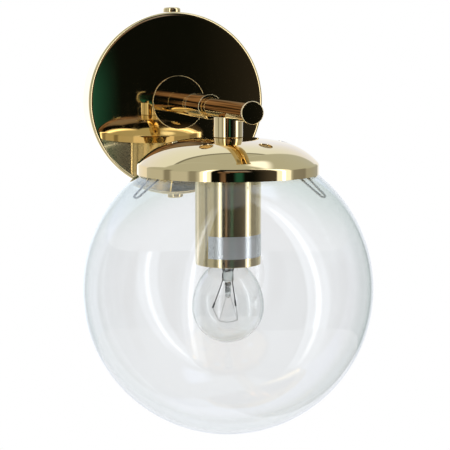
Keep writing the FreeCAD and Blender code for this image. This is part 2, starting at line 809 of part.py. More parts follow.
def lampholder():
    """The E14 lampholder inside the cup: body, threaded shell and centre contact."""
    cavity_radius, cavity_top = 8.6, 46.0
    body = turned(
        "socket_body",
        [
            (S.thread_radius, -S.holder_top - 5.5),
            (S.nipple_bore, -S.holder_top - 5.5),
            (S.nipple_bore, -cavity_top),
            (cavity_radius, -cavity_top),
            (cavity_radius, -S.holder_mouth),
            (S.holder_radius, -S.holder_mouth),
            (S.holder_radius, -37.0, 2.0),
            (S.holder_radius - 2.0, -35.0),
            (7.5, -35.0),
            (7.5, -S.holder_top),
            (S.thread_radius, -S.holder_top),
        ],
    )
    place(body, y=LAMP_Y)
    shell_top = cavity_top + 0.8
    shell = tube(as_size(8.0), as_size(7.4), 39.0, **lamp(shell_top))
    tab = block((-7.9, LAMP_Y - 2.5, -shell_top), (-0.5, LAMP_Y + 2.5, -cavity_top))
    named(join(shell, tab), "socket_shell")
    tongue = block((0.5, LAMP_Y - 2.5, -66.0), (2.1, LAMP_Y + 2.5, -cavity_top))
    pad = cylinder(3.0, 0.6, **lamp(66.0))
    named(join(tongue, pad), "socket_contact")


def bulb():
    """The clear golf-ball bulb: glass, threaded base, insulator, contact, stem, leads and filament."""
    base_mouth = 91.0
    shoulder, shoulder_slope = 33.8, math.radians(48.0)
    shoulder_radius = S.bulb_radius - shoulder * (1.0 - math.cos(shoulder_slope))
    shoulder_height = -S.bulb_drop + shoulder * math.sin(shoulder_slope)
    glass = shell(
        "bulb_glass",
        [
            (0.0, -S.bulb_drop - S.bulb_radius, S.bulb_radius),
            (S.bulb_radius, -S.bulb_drop, shoulder),
            (shoulder_radius, shoulder_height, -7.2),
            (9.0, -base_mouth),
            (6.1, -base_mouth),
            (6.1, -84.0),
        ],
        S.bulb_wall,
    )
    place(glass, y=LAMP_Y)
    crest = S.base_radius
    root_radius = S.base_radius - 0.55
    thread = []
    first_turn, last_turn, pitch = 74.0, 88.0, 2.8
    for turn_number in range(int((last_turn - first_turn) / pitch)):
        height = -(last_turn - 0.4 - turn_number * pitch)
        thread += [(root_radius, height, 1.4), (crest, height + pitch / 4, 1.4)]
        thread += [(crest, height + pitch / 2, 1.4), (root_radius, height + pitch * 0.75)]
    base = turned(
        "bulb_base",
        [
            (6.15, -base_mouth + 0.05),
            (8.2, -base_mouth + 0.05),
            (7.3, -base_mouth + 1.6),
            (root_radius, -base_mouth + 2.2),
            *thread,
            (root_radius, -72.4, 1.6),
            (5.0, -71.0),
            (4.7, -71.0),
            (4.7, -71.4),
            (6.15, -73.0),
        ],
    )
    place(base, y=LAMP_Y)
    insulator = turned(
        "bulb_insulator",
        [(1.0, -71.3), (4.7, -71.3), (4.7, -70.6), (3.1, -68.4), (1.0, -68.4)],
    )
    place(insulator, y=LAMP_Y)
    contact = turned(
        "bulb_contact",
        [
            (0.0, -71.3),
            (1.0, -71.3),
            (1.0, -68.4),
            (2.6, -68.4),
            (2.2, -67.4, crown_radius(2.2, 0.4)),
            (0.0, -67.0),
        ],
    )
    place(contact, y=LAMP_Y)
    bulb_insides()


def bulb_insides():
    """The flared glass stem with its pinched foot, two lead wires and the hanging filament."""
    flare = turned(
        "bulb_stem",
        [
            (0.0, -116.0, 1.6),
            (1.55, -114.4),
            (1.8, -107.0),
            (3.4, -104.0),
            (3.6, -96.0, -9.0),
            (5.4, -85.5),
            (0.0, -85.5),
        ],
    )
    place(flare, y=LAMP_Y)
    bearing = LEADS_BEARING
    left = [(-2.4, 103.4), (-4.0, 108.0), (-9.5, 123.5)]
    right = [(2.4, 103.4), (3.4, 108.0), (4.9, 122.3)]
    leads = []
    for side, run in (("left", left), ("right", right)):
        points = [round_lamp(bearing, 0.0, sideways, depth) for sideways, depth in run]
        leads.append(wire_piece(f"{side}_lead", points, [8.0], 0.3))
    named(group(*leads), "bulb_leads")
    hang = [(-9.5, 123.9), (-7.6, 131.4), (0.0, 133.4), (6.0, 131.0), (4.9, 122.7)]
    points = [round_lamp(bearing, 0.0, sideways, depth) for sideways, depth in hang]
    named(wire_piece("filament", points, [3.0, 9.0, 3.0], 0.35), "bulb_filament")


LEADS_BEARING = -16.0  # the filament's plane stands square to this bearing


# ---------------------------------------------------------------- wiring
def wiring():
    """Line and neutral from the terminal block through arm, knuckle and nipple, and the earth wire."""
    block_side = TERMINAL_X - 8.0
    way_depth = -8.0
    lamp_y = LAMP_Y.value
    runs = {
        "line_wire": (TERMINAL_WAYS[0], 1.3, 1.0),
        "neutral_wire": (TERMINAL_WAYS[1], -1.3, -1.0),
    }
    for label, (way, side, height) in runs.items():
        points = [
            Vector(block_side, way_depth, way),
            Vector(side, way_depth, height),
            Vector(side, lamp_y, height),
            Vector(side, lamp_y, -46.0),
        ]
        named(wire_piece(label, points, [5.0, 7.0], S.wire_radius.value), label)
    points = [
        Vector(block_side, way_depth, TERMINAL_WAYS[2]),
        Vector(EARTH[0] + 8.0, way_depth, TERMINAL_WAYS[2]),
        Vector(EARTH[0] + 4.4, -S.strap_sheet.value - 1.8, EARTH[1] + 1.0),
        Vector(EARTH[0] + 2.3, -S.strap_sheet.value - 1.8, EARTH[1]),
    ]
    named(wire_piece("earth_wire", points, [3.0, 3.0], S.wire_radius.value), "earth_wire")


# ---------------------------------------------------------------- build, check and write
def check_and_write():
    """Stops on any failed object or bad shape, then writes each sub-part to its own file."""
    doc.recompute()
    for item in doc.Objects:
        if "Invalid" in item.State or "Error" in item.State:
            raise RuntimeError(f"{item.Name} ({item.Label}) failed: {item.State}")
    for node in NODES:
        if node.Shape.isNull() or not node.Shape.isValid() or not node.Shape.Solids:
            raise RuntimeError(f"{node.Label} has no sound shape")
    os.makedirs("parts", exist_ok=True)
    for node in NODES:
        node.Shape.exportStep(f"parts/{node.Label}.step")
        box = node.Shape.BoundBox
        print(
            f"{node.Label:22s} {len(node.Shape.Solids)} solid, {node.Shape.Volume:10.1f} mm3, "
            f"X {box.XMin:.1f}..{box.XMax:.1f}  "
            f"Y {box.YMin:.1f}..{box.YMax:.1f}  "
            f"Z {box.ZMin:.1f}..{box.ZMax:.1f}"
        )
    print(len(NODES), "sub-parts")


def main():
    wall_bracket()
    wall_canopy()
    canopy_screw("canopy_screw_top", 1)
    canopy_screw("canopy_screw_bottom", -1)
    terminal_block()
    earth_screw()
    base_disc()
    arm_sleeve("arm_sleeve_rear", DISC_FRONT, S.sleeve_seam)
    arm_sleeve("arm_sleeve_front", S.sleeve_seam, S.sleeve_front)
    arm_tube()
    arm_end_cap()
    arm_fixing()
    knuckle()
    gallery_dome()
    gallery_fixing()
    clip_carrier()
    for number in range(GLOBE_CLIPS):
        globe_clip(number)
    glass_globe()
    lamp_cup()
    lamp_label()
    lampholder()
    bulb()
    wiring()
    check_and_write()


main()
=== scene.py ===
"""Globe wall sconce: mirror-polished gold sheet and turned parts, a clear glass globe and bulb."""
import math

import bpy
from bpy.props import FloatProperty, FloatVectorProperty, PointerProperty
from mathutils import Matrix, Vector


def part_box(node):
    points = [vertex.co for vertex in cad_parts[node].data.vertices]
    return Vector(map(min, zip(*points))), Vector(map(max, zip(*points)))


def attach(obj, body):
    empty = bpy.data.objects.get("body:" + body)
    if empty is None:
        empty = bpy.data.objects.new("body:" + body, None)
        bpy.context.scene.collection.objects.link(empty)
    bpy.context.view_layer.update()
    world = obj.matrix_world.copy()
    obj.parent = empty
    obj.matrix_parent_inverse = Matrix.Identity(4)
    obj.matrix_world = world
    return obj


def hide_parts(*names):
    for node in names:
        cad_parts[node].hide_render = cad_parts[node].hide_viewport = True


bl_info = {
    "name": "Globe Wall Sconce",
    "version": (1, 0, 0),
    "blender": (4, 5, 0),
    "location": "View3D > Sidebar > Sconce",
    "description": "Models and finishes a wall light with a clear glass globe",
    "category": "Object",
}

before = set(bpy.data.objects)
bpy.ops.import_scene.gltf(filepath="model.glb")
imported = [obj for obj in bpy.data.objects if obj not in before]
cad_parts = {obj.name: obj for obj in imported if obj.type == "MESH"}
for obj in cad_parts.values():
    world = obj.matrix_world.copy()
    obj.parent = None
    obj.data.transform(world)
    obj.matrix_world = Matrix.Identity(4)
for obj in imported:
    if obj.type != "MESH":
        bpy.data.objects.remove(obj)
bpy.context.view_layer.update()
MM = 0.001
FULL_TURN = math.tau
RIGHT_ANGLE = 90.0
LONGEST_RUN = 1.6
SAME_SPOT = 1e-7
SEAM = 2e-6
GLASS_INDEX = 1.5


# ---- places taken from the frame
def low(node):
    """A node's lowest corner, in millimetres."""
    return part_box(node)[0] / MM


def high(node):
    """A node's highest corner, in millimetres."""
    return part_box(node)[1] / MM


def half_width(node):
    """Half a round node's width, in millimetres."""
    return (high(node).x - low(node).x) / 2


LAMP_Y = (low("lamp_cup").y + high("lamp_cup").y) / 2
CANOPY_RADIUS = half_width("wall_canopy")
DISC_THICKNESS = 1.5
DISC_FRONT = -low("base_disc").y
CANOPY_FRONT = DISC_FRONT - DISC_THICKNESS
CANOPY_RISE = 2.2
SLEEVE_SEAM = -low("arm_sleeve_rear").y
SLEEVE_FRONT = -low("arm_sleeve_front").y
ARM_TIP = -low("arm_end_cap").y
DOME_RADIUS = half_width("gallery_dome")
DOME_TOP = low("knuckle").z
DOME_RIM = low("gallery_dome").z
GLOBE_RADIUS = half_width("glass_globe")
GLOBE_MIDDLE = low("glass_globe").z + GLOBE_RADIUS
CUP_RADIUS = half_width("lamp_cup")
CUP_TOP = high("lamp_cup").z
CUP_MOUTH = low("lamp_cup").z
BULB_RADIUS = half_width("bulb_glass")
BULB_MIDDLE = low("bulb_glass").z + BULB_RADIUS
CLIP_BEARINGS = (46.3, 166.3, 286.3)
VENT_BEARING = 23.0
VENT_COUNT = 6
VENT_CIRCLE = 35.4
SCREW_DEPTH = 9.0
CENTRE_HOLE = 5.2
LABEL_START = -51.5
LABEL_SWEEP = 131.5
LEADS_BEARING = -16.0
FLOOR_HEIGHT = -1.4
FLOOR_RADIUS = 3.2
FLOOR_GLOW = 0.98
LAMP_TARGET = (0.0, LAMP_Y, -70.0)
WHITE = (1.0, 1.0, 1.0)
AHEAD = (0.273, 0.952, -0.136)
CAMERA_SPOT = (-198.90, -859.29, 29.26)
CAMERA_YAW = 0.2738
CAMERA_PITCH = 0.137
CAMERA_LENS = 95.125


# ---- what a user would change
def length_property(name, description, millimetres):
    """A length that a user can change."""
    return FloatProperty(name=name, description=description, default=millimetres * MM, unit="LENGTH")


def colour_property(name, description, default):
    """A colour that a user can change."""
    return FloatVectorProperty(name=name, description=description, default=default, subtype="COLOR")


class SconceSizes(bpy.types.PropertyGroup):
    """Sizes that the CAD solids don't settle."""

    sheet: length_property("Sheet", "Thickness of the spun sheet", 0.9)
    globe_wall: length_property("Globe wall", "Thickness of the globe's glass", 2.0)
    bulb_wall: length_property("Bulb wall", "Thickness of the bulb's glass", 0.6)
    clip_wire: length_property("Clip wire", "Radius of the clips' wire", 0.6)
    edge: length_property("Edge", "How far sharp metal edges are broken", 0.3)


class SconceColours(bpy.types.PropertyGroup):
    """Colours of the main finishes."""

    gold: colour_property("Gold", "Mirror-polished sheet", (0.85, 0.67, 0.37))
    gold_deep: colour_property("Deep gold", "Its darker passages", (0.81, 0.62, 0.32))
    satin: colour_property("Satin", "The lampholder cup", (0.80, 0.64, 0.36))
    satin_light: colour_property("Light satin", "The cup's paler streaks", (0.85, 0.71, 0.44))
    glass: colour_property("Glass", "The globe", (0.938, 0.944, 0.950))
    floor: colour_property("Floor", "The floor", (0.93, 0.93, 0.93))


# ---- shader sums
class Tap:
    """One output of a shader tree; sums on taps add their Math nodes."""

    def __init__(self, finish, socket):
        self.finish = finish
        self.socket = socket

    def sum(self, operation, *others, swapped=False):
        values = [self, *others]
        if swapped:
            values.reverse()
        return self.finish.node("ShaderNodeMath", {"operation": operation}, values)

    def __add__(self, other):
        return self.sum("ADD", other)

    def __rsub__(self, other):
        return self.sum("SUBTRACT", other, swapped=True)

    def __mul__(self, other):
        return self.sum("MULTIPLY", other)

    __radd__ = __add__
    __rmul__ = __mul__


class Finish:
    """A shader tree under construction, for a material or the world."""

    MIX_FACTOR, MIX_FIRST, MIX_SECOND, MIX_RESULT = 0, 6, 7, 2

    def __init__(self, owner):
        owner.use_nodes = True
        self.owner = owner
        self.tree = owner.node_tree
        self.tree.nodes.clear()

    def node(self, kind, settings=None, inputs=(), output=0):
        """Adds a node: first its settings, then its sockets, by name or in order; returns one output."""
        made = self.tree.nodes.new(kind)
        for name, value in (settings or {}).items():
            setattr(made, name, value)
        pairs = inputs.items() if isinstance(inputs, dict) else enumerate(inputs)
        for name, value in pairs:
            if isinstance(value, Tap):
                self.tree.links.new(value.socket, made.inputs[name])
            else:
                made.inputs[name].default_value = value
        return Tap(self, made.outputs[output]) if len(made.outputs) else None

    def place(self, scale=(1.0, 1.0, 1.0)):
        """Object coordinates, scaled."""
        where = self.node("ShaderNodeTexCoord", output="Object")
        return self.node("ShaderNodeMapping", {}, {"Vector": where, "Scale": scale})

    def part(self, vector, axis):
        """A vector's part along one axis."""
        return self.node("ShaderNodeSeparateXYZ", {}, [vector], output=axis)

    def ray(self, question):
        """What the light path says of the ray that asks for a colour."""
        return self.node("ShaderNodeLightPath", output=question)

    def noise(self, where, scale, detail=2.0, roughness=0.5):
        """Fractal noise from 0 to 1."""
        inputs = {"Vector": where, "Scale": scale, "Detail": detail, "Roughness": roughness}
        return self.node("ShaderNodeTexNoise", {}, inputs)

    def blend(self, factor, first, second):
        """A colour between two."""
        inputs = {self.MIX_FACTOR: factor, self.MIX_FIRST: rgba(first), self.MIX_SECOND: rgba(second)}
        return self.node("ShaderNodeMix", {"data_type": "RGBA"}, inputs, self.MIX_RESULT)

    def ramp(self, value, low_end, high_end, start=0.0, end=1.0):
        """A value eased from start to end between two limits."""
        settings = {"interpolation_type": "SMOOTHSTEP"}
        limits = {"From Min": low_end, "From Max": high_end, "To Min": start, "To Max": end}
        return self.node("ShaderNodeMapRange", settings, {"Value": value, **limits})

    def between(self, value, start, end, soft):
        """1 where a value lies between two limits, with soft edges."""
        rising = self.ramp(value, start - soft, start + soft)
        return rising * self.ramp(value, end - soft, end + soft, 1.0, 0.0)

    def bump(self, height, distance, strength):
        """A normal from a height, in metres of relief."""
        inputs = {"Height": height, "Distance": distance, "Strength": strength}
        return self.node("ShaderNodeBump", {}, inputs)

    def principled(self, **sockets):
        """A Principled shader; underscores in names stand for spaces."""
        inputs = {name.replace("_", " "): value for name, value in sockets.items()}
        return self.node("ShaderNodeBsdfPrincipled", {}, inputs)

    def surface(self, **sockets):
        """Ends a material's tree in a Principled shader and returns the material."""
        return self.close(self.principled(**sockets))

    def close(self, shader, kind="ShaderNodeOutputMaterial"):
        """Ends the tree in its output and returns what the tree belongs to."""
        self.node(kind, {}, {"Surface": shader})
        return self.owner


def rgba(colour):
    """A colour with full alpha; a tap stays as it is."""
    return colour if isinstance(colour, Tap) else (*colour, 1.0)


def new_finish(name):
    """The empty tree of a new material."""
    return Finish(bpy.data.materials.new(name))


# ---- finishes, one function each
def polished_brass():
    """Mirror-polished, lacquered gold sheet: hardly any roughness, faint smears and spinning waves."""
    colours = bpy.context.scene.sconce_colours
    finish = new_finish("polished_gold")
    where = finish.place()
    cloud = finish.noise(where, 18.0, 3.0)
    smear = finish.noise(finish.place((1.0, 1.0, 0.25)), 90.0, 4.0, 0.65)
    waves = finish.noise(where, 45.0, 1.0)
    return finish.surface(
        Base_Color=finish.blend(finish.ramp(cloud, 0.35, 0.75), colours.gold, colours.gold_deep),
        Metallic=1.0,
        Roughness=finish.ramp(smear, 0.45, 0.8, 0.02, 0.075),
        Normal=finish.bump(waves, 0.02 * MM, 0.35),
    )


def satin_brass():
    """Turned and polished brass, paler than the sheet: very fine lines round the axis."""
    colours = bpy.context.scene.sconce_colours
    finish = new_finish("turned_gold")
    lines = finish.noise(finish.place((2.0, 2.0, 2200.0)), 4.0, 2.0, 0.6)
    streaks = finish.noise(finish.place((160.0, 160.0, 2.0)), 1.0, 2.0)
    return finish.surface(
        Base_Color=finish.blend(finish.ramp(streaks, 0.35, 0.65), colours.satin, colours.satin_light),
        Metallic=1.0,
        Roughness=finish.ramp(lines, 0.2, 0.8, 0.06, 0.12),
        Normal=finish.bump(lines, 0.004 * MM, 0.5),
    )


def plated_steel():
    """Zinc-plated pressed steel, slightly blue and cloudy."""
    finish = new_finish("zinc_plate")
    cloud = finish.noise(finish.place(), 160.0, 5.0, 0.6)
    grain = finish.noise(finish.place((1.0, 1.0, 20.0)), 300.0, 2.0)
    return finish.surface(
        Base_Color=finish.blend(cloud, (0.58, 0.60, 0.63), (0.78, 0.78, 0.76)),
        Metallic=1.0,
        Roughness=finish.ramp(cloud, 0.3, 0.7, 0.25, 0.42),
        Normal=finish.bump(grain, 0.02 * MM, 0.4),
    )


def silver_foil():
    """A strip of silver foil, a little creased where it is stuck round the cup."""
    finish = new_finish("foil")
    crease = finish.noise(finish.place((1.0, 1.0, 0.3)), 160.0, 3.0, 0.6)
    return finish.surface(
        Base_Color=finish.blend(crease, (0.76, 0.77, 0.76), (0.87, 0.88, 0.87)),
        Metallic=0.65,
        Roughness=finish.ramp(crease, 0.2, 0.8, 0.18, 0.30),
        Normal=finish.bump(crease, 0.1 * MM, 0.4),
    )


def grained_metal(name, grain, dark, light, shine, stretch=1.0, metallic=1.0):
    """Metal whose colour and shine follow one grain.

    grain is the noise's scale and detail, shine its range and the roughness at either end of it, and
    stretch below 1 draws the grain out along Z.
    """
    finish = new_finish(name)
    cloud = finish.noise(finish.place((1.0, 1.0, stretch)), *grain)
    return finish.surface(
        Base_Color=finish.blend(cloud, dark, light),
        Metallic=metallic,
        Roughness=finish.ramp(cloud, *shine),
    )


def spring_wire():
    """Bright drawn wire with lines along it."""
    dark, light = (0.42, 0.40, 0.37), (0.62, 0.60, 0.56)
    return grained_metal("drawn_wire", (1500.0, 2.0), dark, light, (0.2, 0.8, 0.16, 0.3), stretch=0.2)


def base_nickel():
    """Thin nickelled brass, dulled where it was pressed."""
    dark, light = (0.66, 0.63, 0.57), (0.80, 0.78, 0.74)
    return grained_metal("nickel", (220.0, 3.0), dark, light, (0.3, 0.7, 0.12, 0.3))


def tungsten():
    """Dark drawn wire."""
    dark, light = (0.10, 0.10, 0.105), (0.24, 0.24, 0.25)
    return grained_metal("dark_wire", (900.0, 2.0), dark, light, (0.2, 0.8, 0.3, 0.5), metallic=0.9)


def contact_brass():
    """Stamped brass contacts, a little tarnished."""
    dark, light = (0.52, 0.38, 0.16), (0.76, 0.60, 0.30)
    return grained_metal("stamped_brass", (180.0, 4.0), dark, light, (0.3, 0.7, 0.22, 0.4))


def clear_surface(finish, colour, normal):
    """Ends a tree in smooth clear glass."""
    return finish.surface(
        Base_Color=colour, Roughness=0.0, IOR=GLASS_INDEX, Transmission_Weight=1.0, Normal=normal
    )


def glass(name, tint, edge, darker_band, wave_scale, wave_depth):
    """Clear blown glass, uneven in its skin, darker at its edge, and darker again near its edge within a
    band of heights.

    The band is the height where that begins, the height where it is full, and its colour; on the globe's
    shoulder this darkening is painted shade, on the bulb it darkens the foot.
    """
    finish = new_finish(name)
    where = finish.place()
    wave = finish.noise(where, wave_scale, 2.0)
    slant = finish.node("ShaderNodeLayerWeight", {}, {"Blend": 0.5}, output="Facing")
    body = finish.blend(finish.ramp(wave, 0.3, 0.7), tint, tuple(part * 0.985 for part in tint))
    body = finish.blend(finish.ramp(slant, 0.45, 1.0), body, edge)
    start, full, shade = darker_band
    # the band's darker colour, only near the glass's edge: painted shade on the globe's shoulder
    darker_share = finish.ramp(finish.part(where, "Z"), start * MM, full * MM) * finish.ramp(slant, 0.2, 0.5)
    return clear_surface(finish, finish.blend(darker_share, body, shade), finish.bump(wave, wave_depth, 0.5))


def clear_glass():
    """The globe's glass, greener at its edge, with painted shade on its shoulder."""
    tint = bpy.context.scene.sconce_colours.glass
    # painted shade: a darker green band across the shoulder's edge, between these heights
    shoulder = (-84.0, -44.0, (0.73, 0.80, 0.765))
    return glass("globe_clear_glass", tint, (0.78, 0.825, 0.81), shoulder, 14.0, 0.1 * MM)


def bulb_clear_glass():
    """The bulb's thinner, more uneven glass."""
    tint, edge = (0.985, 0.99, 0.985), (0.91, 0.92, 0.91)
    foot = (-134.0, -143.5, (0.78, 0.78, 0.73))
    return glass("thin_clear_glass", tint, edge, foot, 60.0, 0.06 * MM)


def stem_glass():
    """The bulb's worked glass stem: lumpy, with dark marks where it was pinched and in its bead."""
    finish = new_finish("worked_glass")
    where = finish.place()
    height = finish.part(where, "Z") * (1 / MM)
    lumps = finish.noise(where, 420.0, 3.0)
    bead = finish.between(height, -113.5, -107.2, 0.6)
    rings = finish.between(height, -116.0, -115.3, 0.2) + finish.between(height, -117.9, -117.2, 0.2)
    pinch = finish.between(height, -100.0, -98.4, 0.3)
    spots = finish.ramp(finish.noise(finish.place((1.0, 1.0, 0.5)), 560.0, 2.0), 0.40, 0.56)
    marks = finish.ramp((bead + pinch + 0.7 * rings) * spots, 0.0, 1.0, 0.0, 0.95)
    body = finish.blend(finish.ramp(lumps, 0.3, 0.7), (0.96, 0.97, 0.96), (0.88, 0.90, 0.89))
    colour = finish.blend(marks, body, (0.05, 0.055, 0.05))
    return clear_surface(finish, colour, finish.bump(lumps, 0.3 * MM, 0.5))


def moulded(name, dark, light, roughness, relief):
    """Moulded plastic or ceramic: a fine skin and slight mottling."""
    finish = new_finish(name)
    grain = finish.noise(finish.place(), 1200.0, 3.0, 0.6)
    mottle = finish.noise(finish.place(), 60.0, 2.0)
    return finish.surface(
        Base_Color=finish.blend(mottle, dark, light),
        Roughness=finish.ramp(mottle, 0.2, 0.8, roughness - 0.05, roughness + 0.08),
        Normal=finish.bump(grain, relief * MM, 0.5),
    )


def black_insulator():
    """Black glass round the bulb's contact."""
    return moulded("black_glass", (0.010, 0.010, 0.012), (0.030, 0.028, 0.035), 0.12, 0.01)


def holder_plastic():
    """The lampholder's off-white heatproof plastic."""
    return moulded("heatproof_white", (0.78, 0.76, 0.70), (0.86, 0.85, 0.80), 0.45, 0.02)


def terminal_plastic():
    """The terminal block's white nylon."""
    return moulded("white_nylon", (0.80, 0.80, 0.77), (0.88, 0.88, 0.86), 0.32, 0.01)


def brown_sleeving():
    """The line wire's insulation."""
    return moulded("brown_insulation", (0.16, 0.07, 0.03), (0.22, 0.10, 0.05), 0.4, 0.01)


def blue_sleeving():
    """The neutral wire's insulation."""
    return moulded("blue_insulation", (0.04, 0.13, 0.42), (0.06, 0.18, 0.52), 0.4, 0.01)


def green_sleeving():
    """The earth wire's insulation, green with a yellow stripe."""
    finish = new_finish("green_yellow_insulation")
    where = finish.place()
    stripe = finish.between(finish.part(where, "Z") * (1 / MM), -9.3, -7.9, 0.1)
    grain = finish.noise(where, 900.0, 2.0)
    return finish.surface(
        Base_Color=finish.blend(stripe, (0.10, 0.34, 0.06), (0.72, 0.62, 0.06)),
        Roughness=finish.ramp(grain, 0.2, 0.8, 0.36, 0.46),
    )


MAKERS = (
    polished_brass, satin_brass, contact_brass, plated_steel, base_nickel, silver_foil,
    spring_wire, tungsten, clear_glass, bulb_clear_glass, stem_glass, black_insulator,
    holder_plastic, terminal_plastic, brown_sleeving, blue_sleeving, green_sleeving,
)
MAKER_OF = {maker.__name__: maker for maker in MAKERS}
FINISHED = {}


def finish_for(slot):
    """The finish of one of the record's material slots, made once."""
    if slot not in FINISHED:
        FINISHED[slot] = MAKER_OF[slot]()
    return FINISHED[slot]


# ---- outlines, in millimetres
def arc(start, end, radius, step=4.0):
    """Points along an arc after its start; it turns anticlockwise, or clockwise for a negative radius."""
    start, end = Vector(start), Vector(end)
    chord = (end - start) * (1 if radius > 0 else -1)
    left = Vector((-chord.y, chord.x)).normalized()
    centre = (start + end) / 2 + left * math.sqrt(max(radius * radius - chord.length_squared / 4, 0.0))
    first = (start - centre).angle_signed(Vector((1, 0)))
    sweep = (end - centre).angle_signed(start - centre)
    pieces = max(2, math.ceil(abs(math.degrees(sweep)) / step), math.ceil(chord.length / LONGEST_RUN))
    size = abs(radius)
    turns = [first + sweep * index / pieces for index in range(1, pieces)]
    return [centre + Vector((math.cos(turn), math.sin(turn))) * size for turn in turns] + [end]


def outline(corners, step=4.0):
    """An outline's points from corners (r, z) or (r, z, radius of the arc that leads on)."""
    points = [Vector(corners[0][:2])]
    for corner, following in zip(corners, corners[1:]):
        if len(corner) == 3:
            points += arc(corner[:2], following[:2], corner[2], step)
        else:
            points.append(Vector(following[:2]))
    return points


def rounded(before, corner, after, radius, parts):
    """Points of the arc that rounds the corner between two other points."""
    back = (before - corner).normalized()
    ahead = (after - corner).normalized()
    half = back.angle(ahead) / 2
    reach = radius / math.tan(half)
    centre = corner + (back + ahead).normalized() * (radius / math.sin(half))
    start, end = corner + back * reach, corner + ahead * reach
    spots = [start.lerp(end, part / parts) for part in range(parts + 1)]
    return [centre + (spot - centre).normalized() * radius for spot in spots]


def softened(corners, radius):
    """A closed outline of straight runs, rounded at every corner that isn't on the axis."""
    points = [Vector(corner) for corner in corners]
    made = []
    for before, point, after in zip(points[-1:] + points, points, points[1:] + points):
        made += [point] if point.x == 0.0 else rounded(before, point, after, radius, 3)
    return made + [made[0]]


def bent(points, radii, parts=6):
    """A line of points with its inner corners rounded by the given radii, all in metres."""
    made = [points[0]]
    for before, corner, after, radius in zip(points, points[1:], points[2:], radii):
        made += rounded(before, corner, after, radius, parts)
    return made + [points[-1]]


def crown_radius(width, rise):
    """The radius of a shallow crown from half its width and its height."""
    return (width * width + rise * rise) / (2 * rise)


# ---- modelling by hand, in code
def single_vertex(name, spot):
    """A new piece that is one selected vertex, in edit mode."""
    bpy.ops.mesh.primitive_plane_add(size=MM, location=(0, 0, 0))
    piece = bpy.context.active_object
    piece.name = piece.data.name = name
    bpy.ops.object.mode_set(mode="EDIT")
    bpy.ops.mesh.merge(type="CENTER")
    bpy.ops.transform.translate(value=spot)
    return piece


def trace(points):
    """Draws a line of edges on from the selected vertex."""
    for before, after in zip(points, points[1:]):
        bpy.ops.mesh.extrude_region_move(TRANSFORM_OT_translate={"value": after - before})


def on_lamp(point):
    """A point of an outline (r, z) on the lamp's upright axis, in metres."""
    return Vector((point.x, LAMP_Y, point.y)) * MM


def on_arm(point):
    """A point of an outline (r, distance from the wall) on the arm's axis, in metres."""
    return Vector((point.x, -point.y, 0.0)) * MM


def on_screw(point):
    """A point of an outline (r, z) on the axis of the canopy's side screws, in metres."""
    return Vector((point.x, -SCREW_DEPTH, point.y)) * MM


AXES = {
    on_lamp: (Vector((0, LAMP_Y, 0)) * MM, Vector((0, 0, 1))),
    on_arm: (Vector((0, 0, 0)), Vector((0, 1, 0))),
    on_screw: (Vector((0, -SCREW_DEPTH, 0)) * MM, Vector((0, 0, 1))),
}


def lathe(name, points, where=on_lamp, steps=128, wall=0.0, sweep=FULL_TURN, start=0.0):
    """Spins an outline into a piece; an open outline gets its wall on the inside."""
    spots = [where(point) for point in points]
    piece = single_vertex(name, spots[0])
    trace(spots)
    centre, axis = AXES[where]
    bpy.ops.mesh.select_all(action="SELECT")
    bpy.ops.mesh.remove_doubles(threshold=SAME_SPOT)
    if start:
        bpy.ops.transform.rotate(value=-start, orient_axis="Z", center_override=centre)
    bpy.ops.mesh.spin(steps=steps, angle=-sweep, center=centre, axis=axis)
    bpy.ops.mesh.select_all(action="SELECT")
    bpy.ops.mesh.remove_doubles(threshold=SEAM)
    if sweep < FULL_TURN:
        bpy.ops.mesh.select_all(action="DESELECT")
        bpy.ops.mesh.select_mode(type="EDGE")
        bpy.ops.mesh.select_non_manifold(extend=False)
        bpy.ops.mesh.edge_face_add()
        bpy.ops.mesh.select_mode(type="VERT")
        bpy.ops.mesh.select_all(action="SELECT")
    bpy.ops.mesh.normals_make_consistent(inside=False)
    bpy.ops.object.mode_set(mode="OBJECT")
    if wall:
        modify(piece, "SOLIDIFY", thickness=wall, offset=-1.0, use_even_offset=True)
    return piece


def ring_cuts(piece, *distances):
    """Cuts rings round a part of the arm on both sides of a hole, to keep the hole's effect between them."""
    for distance in distances:
        open_whole(piece)
        bpy.ops.mesh.bisect(plane_co=(0.0, -distance * MM, 0.0), plane_no=(0.0, 1.0, 0.0))
        bpy.ops.object.mode_set(mode="OBJECT")


def modify(piece, kind, **settings):
    """Adds a modifier, sets it and applies it."""
    select_only(piece)
    bpy.ops.object.modifier_add(type=kind)
    modifier = piece.modifiers[-1]
    for name, value in settings.items():
        setattr(modifier, name, value)
    bpy.ops.object.modifier_apply(modifier=modifier.name)


def select_only(*pieces):
    """Selects these pieces and nothing else; the first one is active."""
    bpy.ops.object.select_all(action="DESELECT")
    for piece in pieces:
        piece.select_set(True)
    bpy.context.view_layer.objects.active = pieces[0]


def open_whole(piece):
    """Opens a piece for editing, all of it selected."""
    select_only(piece)
    bpy.ops.object.mode_set(mode="EDIT")
    bpy.ops.mesh.select_all(action="SELECT")


def soften(piece, width, angle=50.0, segments=2):
    """Breaks a piece's sharp edges."""
    limit = math.radians(angle)
    modify(piece, "BEVEL", limit_method="ANGLE", angle_limit=limit, width=width, segments=segments)


def drill(piece, cutter):
    """Cuts a tool out of a piece and deletes it."""
    modify(piece, "BOOLEAN", operation="DIFFERENCE", solver="EXACT", object=cutter)
    bpy.data.objects.remove(cutter)


def rod(radius, depth, location, turn=(0.0, 0.0, 0.0), vertices=64):
    """A plain round bar, as a cutting tool; all in millimetres."""
    size = {"radius": radius * MM, "depth": depth * MM, "vertices": vertices}
    bpy.ops.mesh.primitive_cylinder_add(**size, location=Vector(location) * MM, rotation=turn)
    return bpy.context.active_object


def outward(bearing):
    """The direction of a bearing, in degrees from straight out of the wall towards +X."""
    angle = math.radians(bearing)
    return Vector((math.sin(angle), -math.cos(angle), 0))


